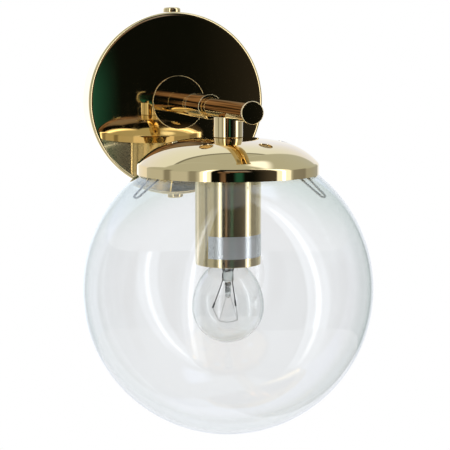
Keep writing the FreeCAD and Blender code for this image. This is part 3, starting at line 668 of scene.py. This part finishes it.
def round_lamp(bearing, radius, sideways, height):
    """A point round the lamp's axis, in metres from millimetres."""
    aside = outward(bearing + RIGHT_ANGLE)
    return (Vector((0, LAMP_Y, height)) + outward(bearing) * radius + aside * sideways) * MM


def wire(name, points, radius, sides=4):
    """A round wire along a line of points, with closed ends."""
    piece = single_vertex(name, points[0])
    trace(points)
    bpy.ops.object.mode_set(mode="OBJECT")
    select_only(piece)
    bpy.ops.object.convert(target="CURVE")
    piece = bpy.context.active_object
    piece.data.bevel_depth = radius
    piece.data.bevel_resolution = sides
    piece.data.use_fill_caps = True
    bpy.ops.object.convert(target="MESH")
    return bpy.context.active_object


def join(*pieces):
    """Joins pieces into the first one."""
    select_only(*pieces)
    bpy.ops.object.join()
    return pieces[0]


def fit(piece, body, slot, *nodes, smooth=32.0):
    """Shades a finished piece, gives it its finish, and sets it on its body in place of its solids."""
    select_only(piece)
    bpy.ops.object.shade_smooth_by_angle(angle=math.radians(smooth))
    modify(piece, "WEIGHTED_NORMAL", keep_sharp=True)
    piece.data.materials.clear()
    piece.data.materials.append(finish_for(slot))
    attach(piece, body)
    if nodes:
        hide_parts(*nodes)
    return piece


def dress(slot, *nodes):
    """Gives CAD nodes that keep their shape their finish."""
    for name in nodes:
        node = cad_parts[name]
        if not node.material_slots:
            node.data.materials.append(None)
        for place in node.material_slots:
            place.material = finish_for(slot)


# ---- the pieces
def make_canopy(sizes):
    """The round wall canopy, spun from sheet, with its faintly crowned mirror face."""
    edge = 2.7
    rim = CANOPY_FRONT - CANOPY_RISE
    flat = CANOPY_RADIUS - edge
    crown = crown_radius(flat, CANOPY_RISE)
    hole_height = CANOPY_FRONT - crown + math.sqrt(crown**2 - CENTRE_HOLE**2)
    screw_hole, beside = 2.4, 3.0
    corners = [
        (CANOPY_RADIUS, 0.0),
        (CANOPY_RADIUS, rim - edge, edge),
        (flat, rim, crown),
        (CENTRE_HOLE, hole_height),
    ]
    piece = lathe("canopy", outline(corners, 12.0), on_arm, 192, sizes.sheet)
    ring_cuts(piece, SCREW_DEPTH - beside, SCREW_DEPTH + beside)
    drill(piece, rod(screw_hole, CANOPY_RADIUS * 2.2, (0, -SCREW_DEPTH, 0)))
    fit(piece, "fixture", "polished_brass", "wall_canopy")


def make_canopy_screw(name, body, node, side):
    """A side screw, up or down by side: a smooth cap head over a short thread."""
    base, top, tip = CANOPY_RADIUS + 0.3, 67.6, 54.0
    head, end, root, crest, shank = 6.25, 1.5, 1.72, 2.0, 1.9
    turns, pitch, run_in = 11, 0.7, 0.8
    edge, groove_start, groove_end, shoulder, crown_rise = 0.4, 1.3, 1.9, 1.6, 0.45
    crown_width = head - shoulder
    thread = []
    for turn in range(turns):
        height = tip + run_in + turn * pitch
        thread += [(root, height), (crest, height + pitch / 2)]
    corners = [
        (0.0, tip),
        (end, tip),
        *thread,
        (shank, base - 0.6),
        (shank, base),
        (head - edge, base, edge),
        (head, base + edge),
        (head, base + groove_start, -0.5),
        (head, base + groove_end),
        (head, top - shoulder, shoulder),
        (crown_width, top, crown_radius(crown_width, crown_rise)),
        (0.0, top + crown_rise),
    ]
    piece = lathe(name, outline(corners, 12.0), on_screw, 64)
    if side < 0:
        open_whole(piece)
        bpy.ops.transform.resize(value=(1, 1, -1), center_override=(0, 0, 0))
        bpy.ops.mesh.flip_normals()
        bpy.ops.object.mode_set(mode="OBJECT")
    fit(piece, body, "polished_brass", node)


def turned_on_arm(name, corners, node, radius, steps=96):
    """A solid turned part on the arm, every corner lightly rounded."""
    piece = lathe(name, softened(corners, radius), on_arm, steps)
    fit(piece, "fixture", "polished_brass", node)


def make_arm(sizes):
    """Base disc, the two sleeves, the tube and its end cap."""
    edge, fine_edge, cap_edge = sizes.edge / MM, 0.15, 0.55
    bore, tube, sleeve = 5.0, half_width("arm_tube"), half_width("arm_sleeve_rear")
    disc, disc_back = half_width("base_disc"), CANOPY_FRONT - 0.21
    corners = [(CENTRE_HOLE, CANOPY_FRONT), (disc, disc_back), (disc, DISC_FRONT), (CENTRE_HOLE, DISC_FRONT)]
    turned_on_arm("base_disc_turned", corners, "base_disc", edge, 160)
    for name, node, start, end in (
        ("rear_sleeve", "arm_sleeve_rear", DISC_FRONT, SLEEVE_SEAM),
        ("front_sleeve", "arm_sleeve_front", SLEEVE_SEAM, SLEEVE_FRONT),
    ):
        turned_on_arm(name, [(tube, start), (sleeve, start), (sleeve, end), (tube, end)], node, edge)
    cap, cap_back, seat = half_width("arm_end_cap"), -high("arm_end_cap").y, ARM_TIP - 2.5
    corners = [(bore, DISC_FRONT), (tube, DISC_FRONT), (tube, seat), (bore, seat)]
    piece = lathe("straight_arm", softened(corners, fine_edge), on_arm, 96)
    wire_hole, beside = 4.0, 5.0
    ring_cuts(piece, -LAMP_Y - beside, -LAMP_Y + beside)
    drill(piece, rod(wire_hole, wire_hole * 2, (0, LAMP_Y, -wire_hole)))
    fit(piece, "fixture", "polished_brass", "arm_tube")
    corners = [(0.0, cap_back), (bore, cap_back), (bore, seat), (cap, seat), (cap, ARM_TIP), (0.0, ARM_TIP)]
    turned_on_arm("end_cap", corners, "arm_end_cap", cap_edge)


def make_knuckle():
    """The boss under the arm, saddled to the tube and drilled for the nipple."""
    bore, radius, top = 5.0, half_width("knuckle"), high("knuckle").z
    corners = [(bore, DOME_TOP), (radius, DOME_TOP), (radius, top), (bore, top)]
    piece = lathe("knuckle_boss", softened(corners, 0.3), on_lamp, 96)
    drill(piece, rod(half_width("arm_tube"), 40.0, (0, LAMP_Y, 0), (math.pi / 2, 0, 0), 96))
    soften(piece, 0.12 * MM, 40.0)
    fit(piece, "fixture", "polished_brass", "knuckle")


def dome_corners():
    """The dome's outer line from its rim up: band, shoulder, flank and crown, each tangent to the next."""
    crown, flank, shoulder, corner = 230.0, 90.0, 42.0, 3.0
    crown_edge, flank_edge = 22.5, 34.0
    slope_crown = math.asin(crown_edge / crown)
    slope_flank = math.asin(math.sin(slope_crown) + (flank_edge - crown_edge) / flank)
    left_over = DOME_RADIUS - corner - flank_edge
    slope_shoulder = math.asin((left_over + shoulder * math.sin(slope_flank)) / (shoulder - corner))
    shoulder_edge = DOME_RADIUS - corner * (1 - math.sin(slope_shoulder))
    crown_fall = crown * (1 - math.cos(slope_crown))
    flank_fall = crown_fall + flank * (math.cos(slope_crown) - math.cos(slope_flank))
    shoulder_fall = flank_fall + shoulder * (math.cos(slope_flank) - math.cos(slope_shoulder))
    return [
        (DOME_RADIUS, DOME_RIM),
        (DOME_RADIUS, DOME_TOP - shoulder_fall - corner * math.cos(slope_shoulder), corner),
        (shoulder_edge, DOME_TOP - shoulder_fall, shoulder),
        (flank_edge, DOME_TOP - flank_fall, flank),
        (crown_edge, DOME_TOP - crown_fall, crown),
        (CENTRE_HOLE, DOME_TOP - crown + math.sqrt(crown**2 - CENTRE_HOLE**2)),
    ]


def make_dome(sizes):
    """The spun dome with its ring of vent holes."""
    vent, vent_middle = 4.2, DOME_TOP - 4.0
    piece = lathe("dome", outline(dome_corners(), 6.0), on_lamp, 192, sizes.sheet)
    for number in range(VENT_COUNT):
        bearing = VENT_BEARING + number * 360.0 / VENT_COUNT
        spot = round_lamp(bearing, VENT_CIRCLE, 0.0, vent_middle) / MM
        drill(piece, rod(vent, 20.0, spot, vertices=48))
    soften(piece, 0.15 * MM, 60.0)
    fit(piece, "fixture", "polished_brass", "gallery_dome")


def make_clip(number, bearing, sizes):
    """A hairpin of spring wire, its ends turned into the carrier's barrel."""
    half = [(37.5, 1.2, -27.5), (37.5, 6.5, -27.5), (49.5, 5.2, -39.7), (63.6, 2.6, -51.2)]
    bends = [1.0, 6.0, 2.0]
    run = half + [(radius, -side, height) for radius, side, height in reversed(half)]
    points = [round_lamp(bearing, *place) for place in run]
    line = bent(points, [radius * MM for radius in bends + bends[::-1]])
    piece = wire(f"hairpin_clip_{number}", line, sizes.clip_wire, 3)
    fit(piece, f"clip_{number}", "spring_wire", f"globe_clip_{number}", smooth=60.0)


def make_globe(sizes):
    """The blown glass globe, with its neck ground flat and softened."""
    neck = 52.0
    neck_height = GLOBE_MIDDLE + math.sqrt(GLOBE_RADIUS**2 - neck**2)
    bottom = (0.0, GLOBE_MIDDLE - GLOBE_RADIUS, GLOBE_RADIUS)
    corners = [bottom, (GLOBE_RADIUS, GLOBE_MIDDLE, GLOBE_RADIUS), (neck, neck_height)]
    piece = lathe("globe", outline(corners, 2.0), on_lamp, 256, sizes.globe_wall)
    soften(piece, 0.6 * MM, 60.0, 4)
    fit(piece, "globe", "clear_glass", "glass_globe", smooth=60.0)


def make_cup(sizes):
    """The long satin cup round the lampholder."""
    edge, hole = 2.0, 5.1
    rim, shoulder = (CUP_RADIUS, CUP_MOUTH), (CUP_RADIUS, CUP_TOP - edge, edge)
    corners = [rim, shoulder, (CUP_RADIUS - edge, CUP_TOP), (hole, CUP_TOP)]
    piece = lathe("cup", outline(corners, 12.0), on_lamp, 128, sizes.sheet)
    soften(piece, 0.25 * MM, 60.0)
    fit(piece, "fixture", "satin_brass", "lamp_cup")


def make_label():
    """The bare strip of foil round the cup's front and right side."""
    inner, outer = CUP_RADIUS, CUP_RADIUS + 0.12
    bottom, top = low("lamp_label").z, high("lamp_label").z
    corners = [(inner, bottom), (outer, bottom), (outer, top), (inner, top), (inner, bottom)]
    points = [Vector(corner) for corner in corners]
    start, sweep = math.radians(LABEL_START - RIGHT_ANGLE), math.radians(LABEL_SWEEP)
    piece = lathe("foil_strip", points, on_lamp, 48, sweep=sweep, start=start)
    fit(piece, "fixture", "silver_foil", "lamp_label")


def make_bulb(sizes):
    """The golf-ball bulb's glass, its stem, leads and filament."""
    neck, foot, foot_end, base_mouth = 9.0, 6.1, -84.0, -91.0
    bowl, slope = 33.8, math.radians(48.0)
    shoulder = (BULB_RADIUS - bowl * (1.0 - math.cos(slope)), BULB_MIDDLE + bowl * math.sin(slope))
    corners = [
        (0.0, BULB_MIDDLE - BULB_RADIUS, BULB_RADIUS),
        (BULB_RADIUS, BULB_MIDDLE, bowl),
        (*shoulder, -7.2),
        (neck, base_mouth),
        (foot, base_mouth),
        (foot, foot_end),
    ]
    piece = lathe("bulb_bowl", outline(corners, 4.0), on_lamp, 128, sizes.bulb_wall)
    fit(piece, "bulb", "bulb_clear_glass", "bulb_glass", smooth=50.0)
    stem_end = -85.5
    corners = [
        (0.0, -117.2, 1.9),
        (1.7, -115.4),
        (1.5, -114.6, 1.0),
        (1.5, -112.9, 1.0),
        (1.5, -111.2, 1.0),
        (1.5, -109.5, 1.4),
        (1.7, -107.4),
        (3.2, -105.6),
        (3.5, -96.0, -9.0),
        (5.4, stem_end),
        (0.0, stem_end),
    ]
    piece = join(lathe("glass_stem", outline(corners, 14.0), on_lamp, 48), make_pinch())
    fit(piece, "bulb", "bulb_clear_glass", "bulb_stem", smooth=50.0)
    piece.data.materials[0] = finish_for("stem_glass")
    make_leads()
    make_filament()


def make_pinch():
    """The flattened foot of the stem, pinched over the leads and waisted by the tongs."""
    width, thickness, tall = 7.8, 2.6, 7.6
    waist = 0.80
    middle = Vector((0, LAMP_Y, -102.2)) * MM
    turn = math.radians(LEADS_BEARING)
    bpy.ops.mesh.primitive_cube_add(size=MM, location=middle, rotation=(0, 0, turn))
    piece = bpy.context.active_object
    piece.name = piece.data.name = "pinch"
    piece.scale = (width, thickness, tall)
    bpy.ops.object.transform_apply(location=True, rotation=True, scale=True)
    open_whole(piece)
    bpy.ops.mesh.subdivide(number_cuts=4)
    bpy.ops.object.mode_set(mode="OBJECT")
    for vertex in piece.data.vertices:
        rise = (vertex.co.z - middle.z) / (tall / 2 * MM)
        share = waist + (1.0 - waist) * rise * rise
        vertex.co.xy = middle.xy + (vertex.co.xy - middle.xy) * share
    soften(piece, 0.7 * MM, 50.0, 3)
    return piece


def lead_points(run):
    """Points in the filament's plane, from (side step, height) pairs in millimetres."""
    return [round_lamp(LEADS_BEARING, 0.0, sideways, height) for sideways, height in run]


def make_leads():
    """Two lead wires out of the stem's pinch, each ending in a small clamp, and the seals in it."""
    lead, clamp, seal, sleeve = 0.32 * MM, 0.58 * MM, 0.42 * MM, 0.62 * MM
    bends, clamped = [2.0 * MM] * 2, 0.24
    parts = []
    for run in (
        [(-2.4, -98.0), (-2.6, -104.0), (-4.6, -110.0), (-9.5, -123.5)],
        [(2.4, -98.0), (3.2, -103.0), (2.6, -106.0), (4.9, -122.3)],
    ):
        points = lead_points(run)
        parts.append(wire("lead", bent(points, bends), lead, 2))
        parts.append(wire("clamp", [points[-1].lerp(points[-2], clamped), points[-1]], clamp, 2))
    parts.append(wire("seal", lead_points([(-1.4, -100.5), (1.5, -99.5)]), seal, 2))
    parts.append(wire("sleeve", lead_points([(-3.0, -101.4), (-3.2, -104.6)]), sleeve, 2))
    piece = join(*parts)
    piece.name = piece.data.name = "lead_wires"
    fit(piece, "bulb", "tungsten", "bulb_leads", smooth=60.0)


def make_filament():
    """A fine coil hung in a shallow curve between the leads, with its two support hooks."""
    turns, steps_each, coil_radius = 70, 6, 0.26 * MM
    thread, hook = 0.06 * MM, 0.09 * MM
    line = lead_points([(-9.5, -123.5), (-5.9, -131.6), (0.0, -133.2), (6.2, -131.0), (4.9, -122.3)])
    path = bent(line, [2.0 * MM, 12.0 * MM, 1.2 * MM], 8)
    lengths = [0.0]
    for before, after in zip(path, path[1:]):
        lengths.append(lengths[-1] + (after - before).length)
    across = outward(LEADS_BEARING)
    coil = []
    for step in range(turns * steps_each + 1):
        target = lengths[-1] * step / (turns * steps_each)
        index = max(i for i, length in enumerate(lengths[:-1]) if length <= target)
        along = (path[index + 1] - path[index]).normalized()
        spot = path[index] + along * (target - lengths[index])
        beside = along.cross(across)
        turn = FULL_TURN * step / steps_each
        coil.append(spot + (across * math.cos(turn) + beside * math.sin(turn)) * coil_radius)
    parts = [wire("coil", coil, thread, 1)]
    for run in ([(-0.6, -114.5), (-5.4, -131.8)], [(1.0, -114.5), (5.9, -131.4)]):
        parts.append(wire("hook", lead_points(run), hook, 1))
    piece = join(*parts)
    piece.name = piece.data.name = "filament_coil"
    fit(piece, "bulb", "tungsten", "bulb_filament", smooth=60.0)


HARDWARE = {
    "plated_steel": (
        "wall_bracket", "earth_screw", "earth_washer", "terminal_fixing_screw", "terminal_screws",
        "arm_nipple", "arm_washer", "arm_nut", "lamp_nipple", "gallery_washer", "gallery_nut",
        "cup_nut", "clip_carrier",
    ),
    "base_nickel": ("bulb_base", "bulb_contact"),
    "black_insulator": ("bulb_insulator",),
    "holder_plastic": ("socket_body",),
    "contact_brass": ("socket_shell", "socket_contact"),
    "terminal_plastic": ("terminal_block",),
    "brown_sleeving": ("line_wire",),
    "blue_sleeving": ("neutral_wire",),
    "green_sleeving": ("earth_wire",),
}


def dress_hardware():
    """Finishes the CAD nodes that keep their own shape."""
    for slot, nodes in HARDWARE.items():
        dress(slot, *nodes)


# ---- stage
def make_floor(colours):
    """A plain pale floor, far enough below a lamp that hangs on a wall."""
    place = (0, LAMP_Y * MM, FLOOR_HEIGHT)
    bpy.ops.mesh.primitive_circle_add(vertices=96, radius=FLOOR_RADIUS, fill_type="NGON", location=place)
    floor = bpy.context.active_object
    floor.name = "floor"
    finish = new_finish("floor_white")
    plain = finish.principled(Base_Color=rgba(colours.floor), Roughness=0.9)
    glow = finish.node("ShaderNodeEmission", {}, {"Color": rgba(WHITE), "Strength": 1.0})
    seen = finish.ray("Is Camera Ray") + finish.ray("Is Transmission Ray")
    share = finish.ramp(seen, 0.0, 1.0) * FLOOR_GLOW
    mixed = finish.node("ShaderNodeMixShader", {}, [share, plain, glow])
    floor.data.materials.append(finish.close(mixed))
    floor.visible_glossy = False


# Patches of light and shade on the studio's walls: their bearings and their heights in degrees, each range
# with its softness, then how much of the wall they cover, and their colour.
STRIP_HEIGHTS, STRIP_LIGHT = (-48.0, 72.0, 4.0), (1.3, 1.39, 1.50)
CORE_HEIGHTS, CORE_LIGHT = (-40.0, 60.0, 10.0), (4.2, 4.3, 4.4)
POST_HEIGHTS, POST_SHADE = (-40.0, 25.0, 6.0), (0.16, 0.16, 0.14)
SIDE_PATCHES = {
    "lamp high on the right": ((80.0, 114.0, 6.0), (61.0, 76.0, 4.0), 1.0, (1.4, 1.6, 2.0)),
    "left strip": ((-51.0, -36.5, 1.5), STRIP_HEIGHTS, 1.0, STRIP_LIGHT),
    "right strip": ((47.0, 69.0, 1.5), STRIP_HEIGHTS, 1.0, STRIP_LIGHT),
    "left core": ((-46.0, -42.5, 1.5), CORE_HEIGHTS, 1.0, CORE_LIGHT),
    "right core": ((55.5, 60.0, 1.5), CORE_HEIGHTS, 1.0, CORE_LIGHT),
    "far post": ((-103.0, -92.0, 3.0), POST_HEIGHTS, 0.72, POST_SHADE),
    "near post": ((-66.0, -55.0, 3.0), POST_HEIGHTS, 0.65, POST_SHADE),
    "shade on the right": ((72.0, 98.0, 3.0), (-30.0, 12.0, 5.0), 0.75, (0.20, 0.20, 0.20)),
}
DARK_FRONT = ((-36.5, 47.0, 1.2), (-60.0, 74.0, 2.0))
CARD = ((-20.0, 13.0, 4.0), (15.0, 47.0, 4.0))
BROWN_LINE = (
    ((-28.0, 6.0, 3.0), (10.5, 24.0, 3.0), 1.0),
    ((-28.0, -14.0, 2.5), (-3.0, 6.0, 2.0), 1.0),
    ((-26.0, -18.5, 1.5), (-14.0, -3.0, 2.0), 0.7),
)
GREEN = ((-7.0, 2.5, 3.0), (-26.0, 4.0, 5.0))


def studio_walls(finish, bearing, height, away, up):
    """Grey sides, a cream wall behind the lamp, and overhead a grey ceiling with a dark edge."""
    round_bearing = bearing.sum("ABSOLUTE")
    rear = finish.ramp(round_bearing, 136.5, 139.5)
    cream = finish.blend(finish.ramp(height, 15.0, 50.0), (0.92, 1.00, 1.24), (0.90, 1.03, 1.20))
    cream = finish.blend(finish.ramp(height, 16.0, 8.0), cream, (0.98, 1.02, 1.10))
    side = finish.blend(finish.ramp(bearing, 60.0, 100.0), (0.58, 0.63, 0.66), (0.42, 0.45, 0.46))
    side = finish.blend(finish.ramp(height, -2.0, 12.0), side, (0.52, 0.58, 0.60))
    walls = finish.blend(rear, side, cream)
    depth = away.sum("DIVIDE", up.sum("MAXIMUM", 0.001))
    ceiling = finish.ramp(depth, 0.575, 0.53) * finish.ramp(up, 0.01, 0.05)
    walls = finish.blend(ceiling * rear, walls, (0.52, 0.58, 0.60))
    edge = finish.between(depth, 0.53, 0.60, 0.012) * finish.ramp(up, 0.3, 0.6)
    walls = finish.blend(edge * rear * 0.85, walls, (0.16, 0.17, 0.15))
    flank = finish.ramp(round_bearing, 168.0, 170.0) * finish.between(height, -15.0, 13.0, 3.0)
    return finish.blend(flank, walls, (1.25, 1.35, 1.48))


def studio(finish, direction):
    """What mirrors see: walls with bright strips and posts, and a dark front with its patches."""
    right, away, up = (finish.part(direction, axis) for axis in "XYZ")
    bearing = right.sum("ARCTAN2", -1.0 * away) * math.degrees(1.0)
    height = up.sum("ARCSINE") * math.degrees(1.0)

    def patch(across, heights):
        return finish.between(bearing, *across) * finish.between(height, *heights)

    walls = studio_walls(finish, bearing, height, away, up)
    for across, heights, cover, colour in SIDE_PATCHES.values():
        walls = finish.blend(patch(across, heights) * cover, walls, colour)
    gloom = finish.blend(finish.ramp(bearing, 14.0, 46.0), (0.004, 0.005, 0.004), (0.075, 0.066, 0.060))
    walls = finish.blend(patch(*DARK_FRONT), walls, gloom)
    walls = finish.blend(patch(*CARD), walls, (0.26, 0.24, 0.27))
    line = sum(patch(across, heights) * cover for across, heights, cover in BROWN_LINE)
    clouds = finish.ramp(finish.noise(direction, 11.0, 3.0), 0.35, 0.65)
    brown = finish.blend(clouds, (0.10, 0.060, 0.038), (0.36, 0.235, 0.165))
    walls = finish.blend(finish.ramp(line, 0.0, 1.0, 0.0, 0.92), walls, brown)
    return finish.blend(patch(*GREEN) * 0.85, walls, (0.02, 0.115, 0.09))


def make_world():
    """White to the camera, grey to dull surfaces, the studio to mirrors, and through clear glass a pale
    backdrop with a grey ring of painted shade round the line of sight.
    """
    world = bpy.data.worlds.new("studio")
    bpy.context.scene.world = world
    finish = Finish(world)
    direction = finish.node("ShaderNodeTexCoord", output="Generated")
    ahead = finish.node("ShaderNodeVectorMath", {"operation": "DOT_PRODUCT"}, [direction, AHEAD], "Value")
    # painted shade seen through clear glass: grey in a ring round the camera's line of sight, white at its
    # middle, lighter outside
    pale = finish.blend(finish.ramp(ahead, 0.90, 0.98), (0.68, 0.74, 0.74), WHITE)
    pale = finish.blend(finish.ramp(ahead, 0.80, 0.70), pale, (0.94, 0.96, 0.96))
    mirrored = finish.ray("Glossy Depth").sum("MINIMUM", 1.0)
    clear = finish.ray("Is Transmission Ray") * (1.0 - mirrored * finish.ramp(ahead, 0.86, 0.62))
    around = finish.blend(clear, studio(finish, direction), pale)
    light = finish.blend(finish.ray("Is Glossy Ray"), (0.62, 0.63, 0.65), around)
    light = finish.blend(finish.ray("Is Camera Ray"), light, WHITE)
    shader = finish.node("ShaderNodeBackground", {}, {"Color": light, "Strength": 1.0})
    finish.close(shader, "ShaderNodeOutputWorld")


def add_lamp(name, bearing, elevation, distance, size, power):
    """A soft oblong lamp, aimed at the sconce and unseen itself."""
    rise = math.radians(elevation)
    out = outward(bearing) * math.cos(rise) + Vector((0, 0, math.sin(rise)))
    bpy.ops.object.light_add(type="AREA", location=Vector(LAMP_TARGET) * MM + out * distance)
    lamp = bpy.context.active_object
    lamp.name = name
    lamp.rotation_euler = (-out).to_track_quat("-Z", "Y").to_euler()
    lamp.data.shape = "RECTANGLE"
    lamp.data.size, lamp.data.size_y = size
    lamp.data.energy = power
    lamp.visible_camera = False
    lamp.visible_transmission = False
    lamp.visible_glossy = False


def make_camera():
    """The camera at the photograph's place: in front, a little to the left and above the arm."""
    data = bpy.data.cameras.new("camera")
    camera = bpy.data.objects.new("camera", data)
    bpy.context.scene.collection.objects.link(camera)
    camera.location = Vector(CAMERA_SPOT) * MM
    camera.rotation_euler = (math.pi / 2 - CAMERA_PITCH, 0.0, -CAMERA_YAW)
    data.sensor_width = 36.0
    data.lens = CAMERA_LENS
    data.clip_start, data.clip_end = 0.01, 50.0
    bpy.context.scene.camera = camera


def make_stage(colours):
    """Camera, floor, surroundings and lamps."""
    make_camera()
    make_floor(colours)
    make_world()
    add_lamp("strip_left", -49.0, 8.0, 1.7, (0.28, 1.3), 9.0)
    add_lamp("strip_right", 58.0, 8.0, 1.7, (0.4, 1.3), 11.0)
    add_lamp("overhead", 10.0, 78.0, 1.6, (1.2, 1.2), 14.0)
    bpy.context.scene.view_settings.view_transform = "Standard"


# ---- operators
class SCONCE_OT_stage(bpy.types.Operator):
    """Set up camera, floor, surroundings and lamps"""

    bl_idname = "sconce.stage"
    bl_label = "Stage"

    def execute(self, context):
        make_stage(context.scene.sconce_colours)
        return {"FINISHED"}


class SCONCE_OT_canopy(bpy.types.Operator):
    """Model the wall canopy and its two side screws"""

    bl_idname = "sconce.canopy"
    bl_label = "Canopy"

    def execute(self, context):
        make_canopy(context.scene.sconce_sizes)
        make_canopy_screw("top_cap_screw", "screw_top", "canopy_screw_top", 1)
        make_canopy_screw("bottom_cap_screw", "screw_bottom", "canopy_screw_bottom", -1)
        return {"FINISHED"}


class SCONCE_OT_arm(bpy.types.Operator):
    """Model the arm with its disc, sleeves, end cap and knuckle"""

    bl_idname = "sconce.arm"
    bl_label = "Arm"

    def execute(self, context):
        make_arm(context.scene.sconce_sizes)
        make_knuckle()
        return {"FINISHED"}


class SCONCE_OT_dome(bpy.types.Operator):
    """Model the vented dome"""

    bl_idname = "sconce.dome"
    bl_label = "Dome"

    def execute(self, context):
        make_dome(context.scene.sconce_sizes)
        return {"FINISHED"}


class SCONCE_OT_clips(bpy.types.Operator):
    """Model the three wire clips that hold the globe"""

    bl_idname = "sconce.clips"
    bl_label = "Clips"

    def execute(self, context):
        for number, bearing in enumerate(CLIP_BEARINGS, 1):
            make_clip(number, bearing, context.scene.sconce_sizes)
        return {"FINISHED"}


class SCONCE_OT_globe(bpy.types.Operator):
    """Model the glass globe"""

    bl_idname = "sconce.globe"
    bl_label = "Globe"

    def execute(self, context):
        make_globe(context.scene.sconce_sizes)
        return {"FINISHED"}


class SCONCE_OT_cup(bpy.types.Operator):
    """Model the lampholder cup and its foil strip"""

    bl_idname = "sconce.cup"
    bl_label = "Cup"

    def execute(self, context):
        make_cup(context.scene.sconce_sizes)
        make_label()
        return {"FINISHED"}


class SCONCE_OT_bulb(bpy.types.Operator):
    """Model the bulb: glass, stem, leads and filament"""

    bl_idname = "sconce.bulb"
    bl_label = "Bulb"

    def execute(self, context):
        make_bulb(context.scene.sconce_sizes)
        return {"FINISHED"}


class SCONCE_OT_hardware(bpy.types.Operator):
    """Finish the bracket, nuts, wiring and lampholder"""

    bl_idname = "sconce.hardware"
    bl_label = "Hardware"

    def execute(self, context):
        dress_hardware()
        return {"FINISHED"}


class SCONCE_PT_panel(bpy.types.Panel):
    """Buttons for every piece, and the sizes and colours"""

    bl_label = "Globe wall sconce"
    bl_idname = "SCONCE_PT_panel"
    bl_space_type = "VIEW_3D"
    bl_region_type = "UI"
    bl_category = "Sconce"

    def draw(self, context):
        layout = self.layout
        for operator in OPERATORS:
            layout.operator(operator.bl_idname)
        for group in (context.scene.sconce_sizes, context.scene.sconce_colours):
            for name in group.__annotations__:
                layout.prop(group, name)


OPERATORS = (
    SCONCE_OT_stage,
    SCONCE_OT_canopy,
    SCONCE_OT_arm,
    SCONCE_OT_dome,
    SCONCE_OT_clips,
    SCONCE_OT_globe,
    SCONCE_OT_cup,
    SCONCE_OT_bulb,
    SCONCE_OT_hardware,
)
CLASSES = (SconceSizes, SconceColours, *OPERATORS, SCONCE_PT_panel)


def register():
    for cls in CLASSES:
        bpy.utils.register_class(cls)
    bpy.types.Scene.sconce_sizes = PointerProperty(type=SconceSizes)
    bpy.types.Scene.sconce_colours = PointerProperty(type=SconceColours)


def unregister():
    del bpy.types.Scene.sconce_colours
    del bpy.types.Scene.sconce_sizes
    for cls in reversed(CLASSES):
        bpy.utils.unregister_class(cls)


def main():
    register()
    bpy.ops.sconce.stage()
    bpy.ops.sconce.canopy()
    bpy.ops.sconce.arm()
    bpy.ops.sconce.dome()
    bpy.ops.sconce.clips()
    bpy.ops.sconce.globe()
    bpy.ops.sconce.cup()
    bpy.ops.sconce.bulb()
    bpy.ops.sconce.hardware()


if __name__ == "__main__":
    main()
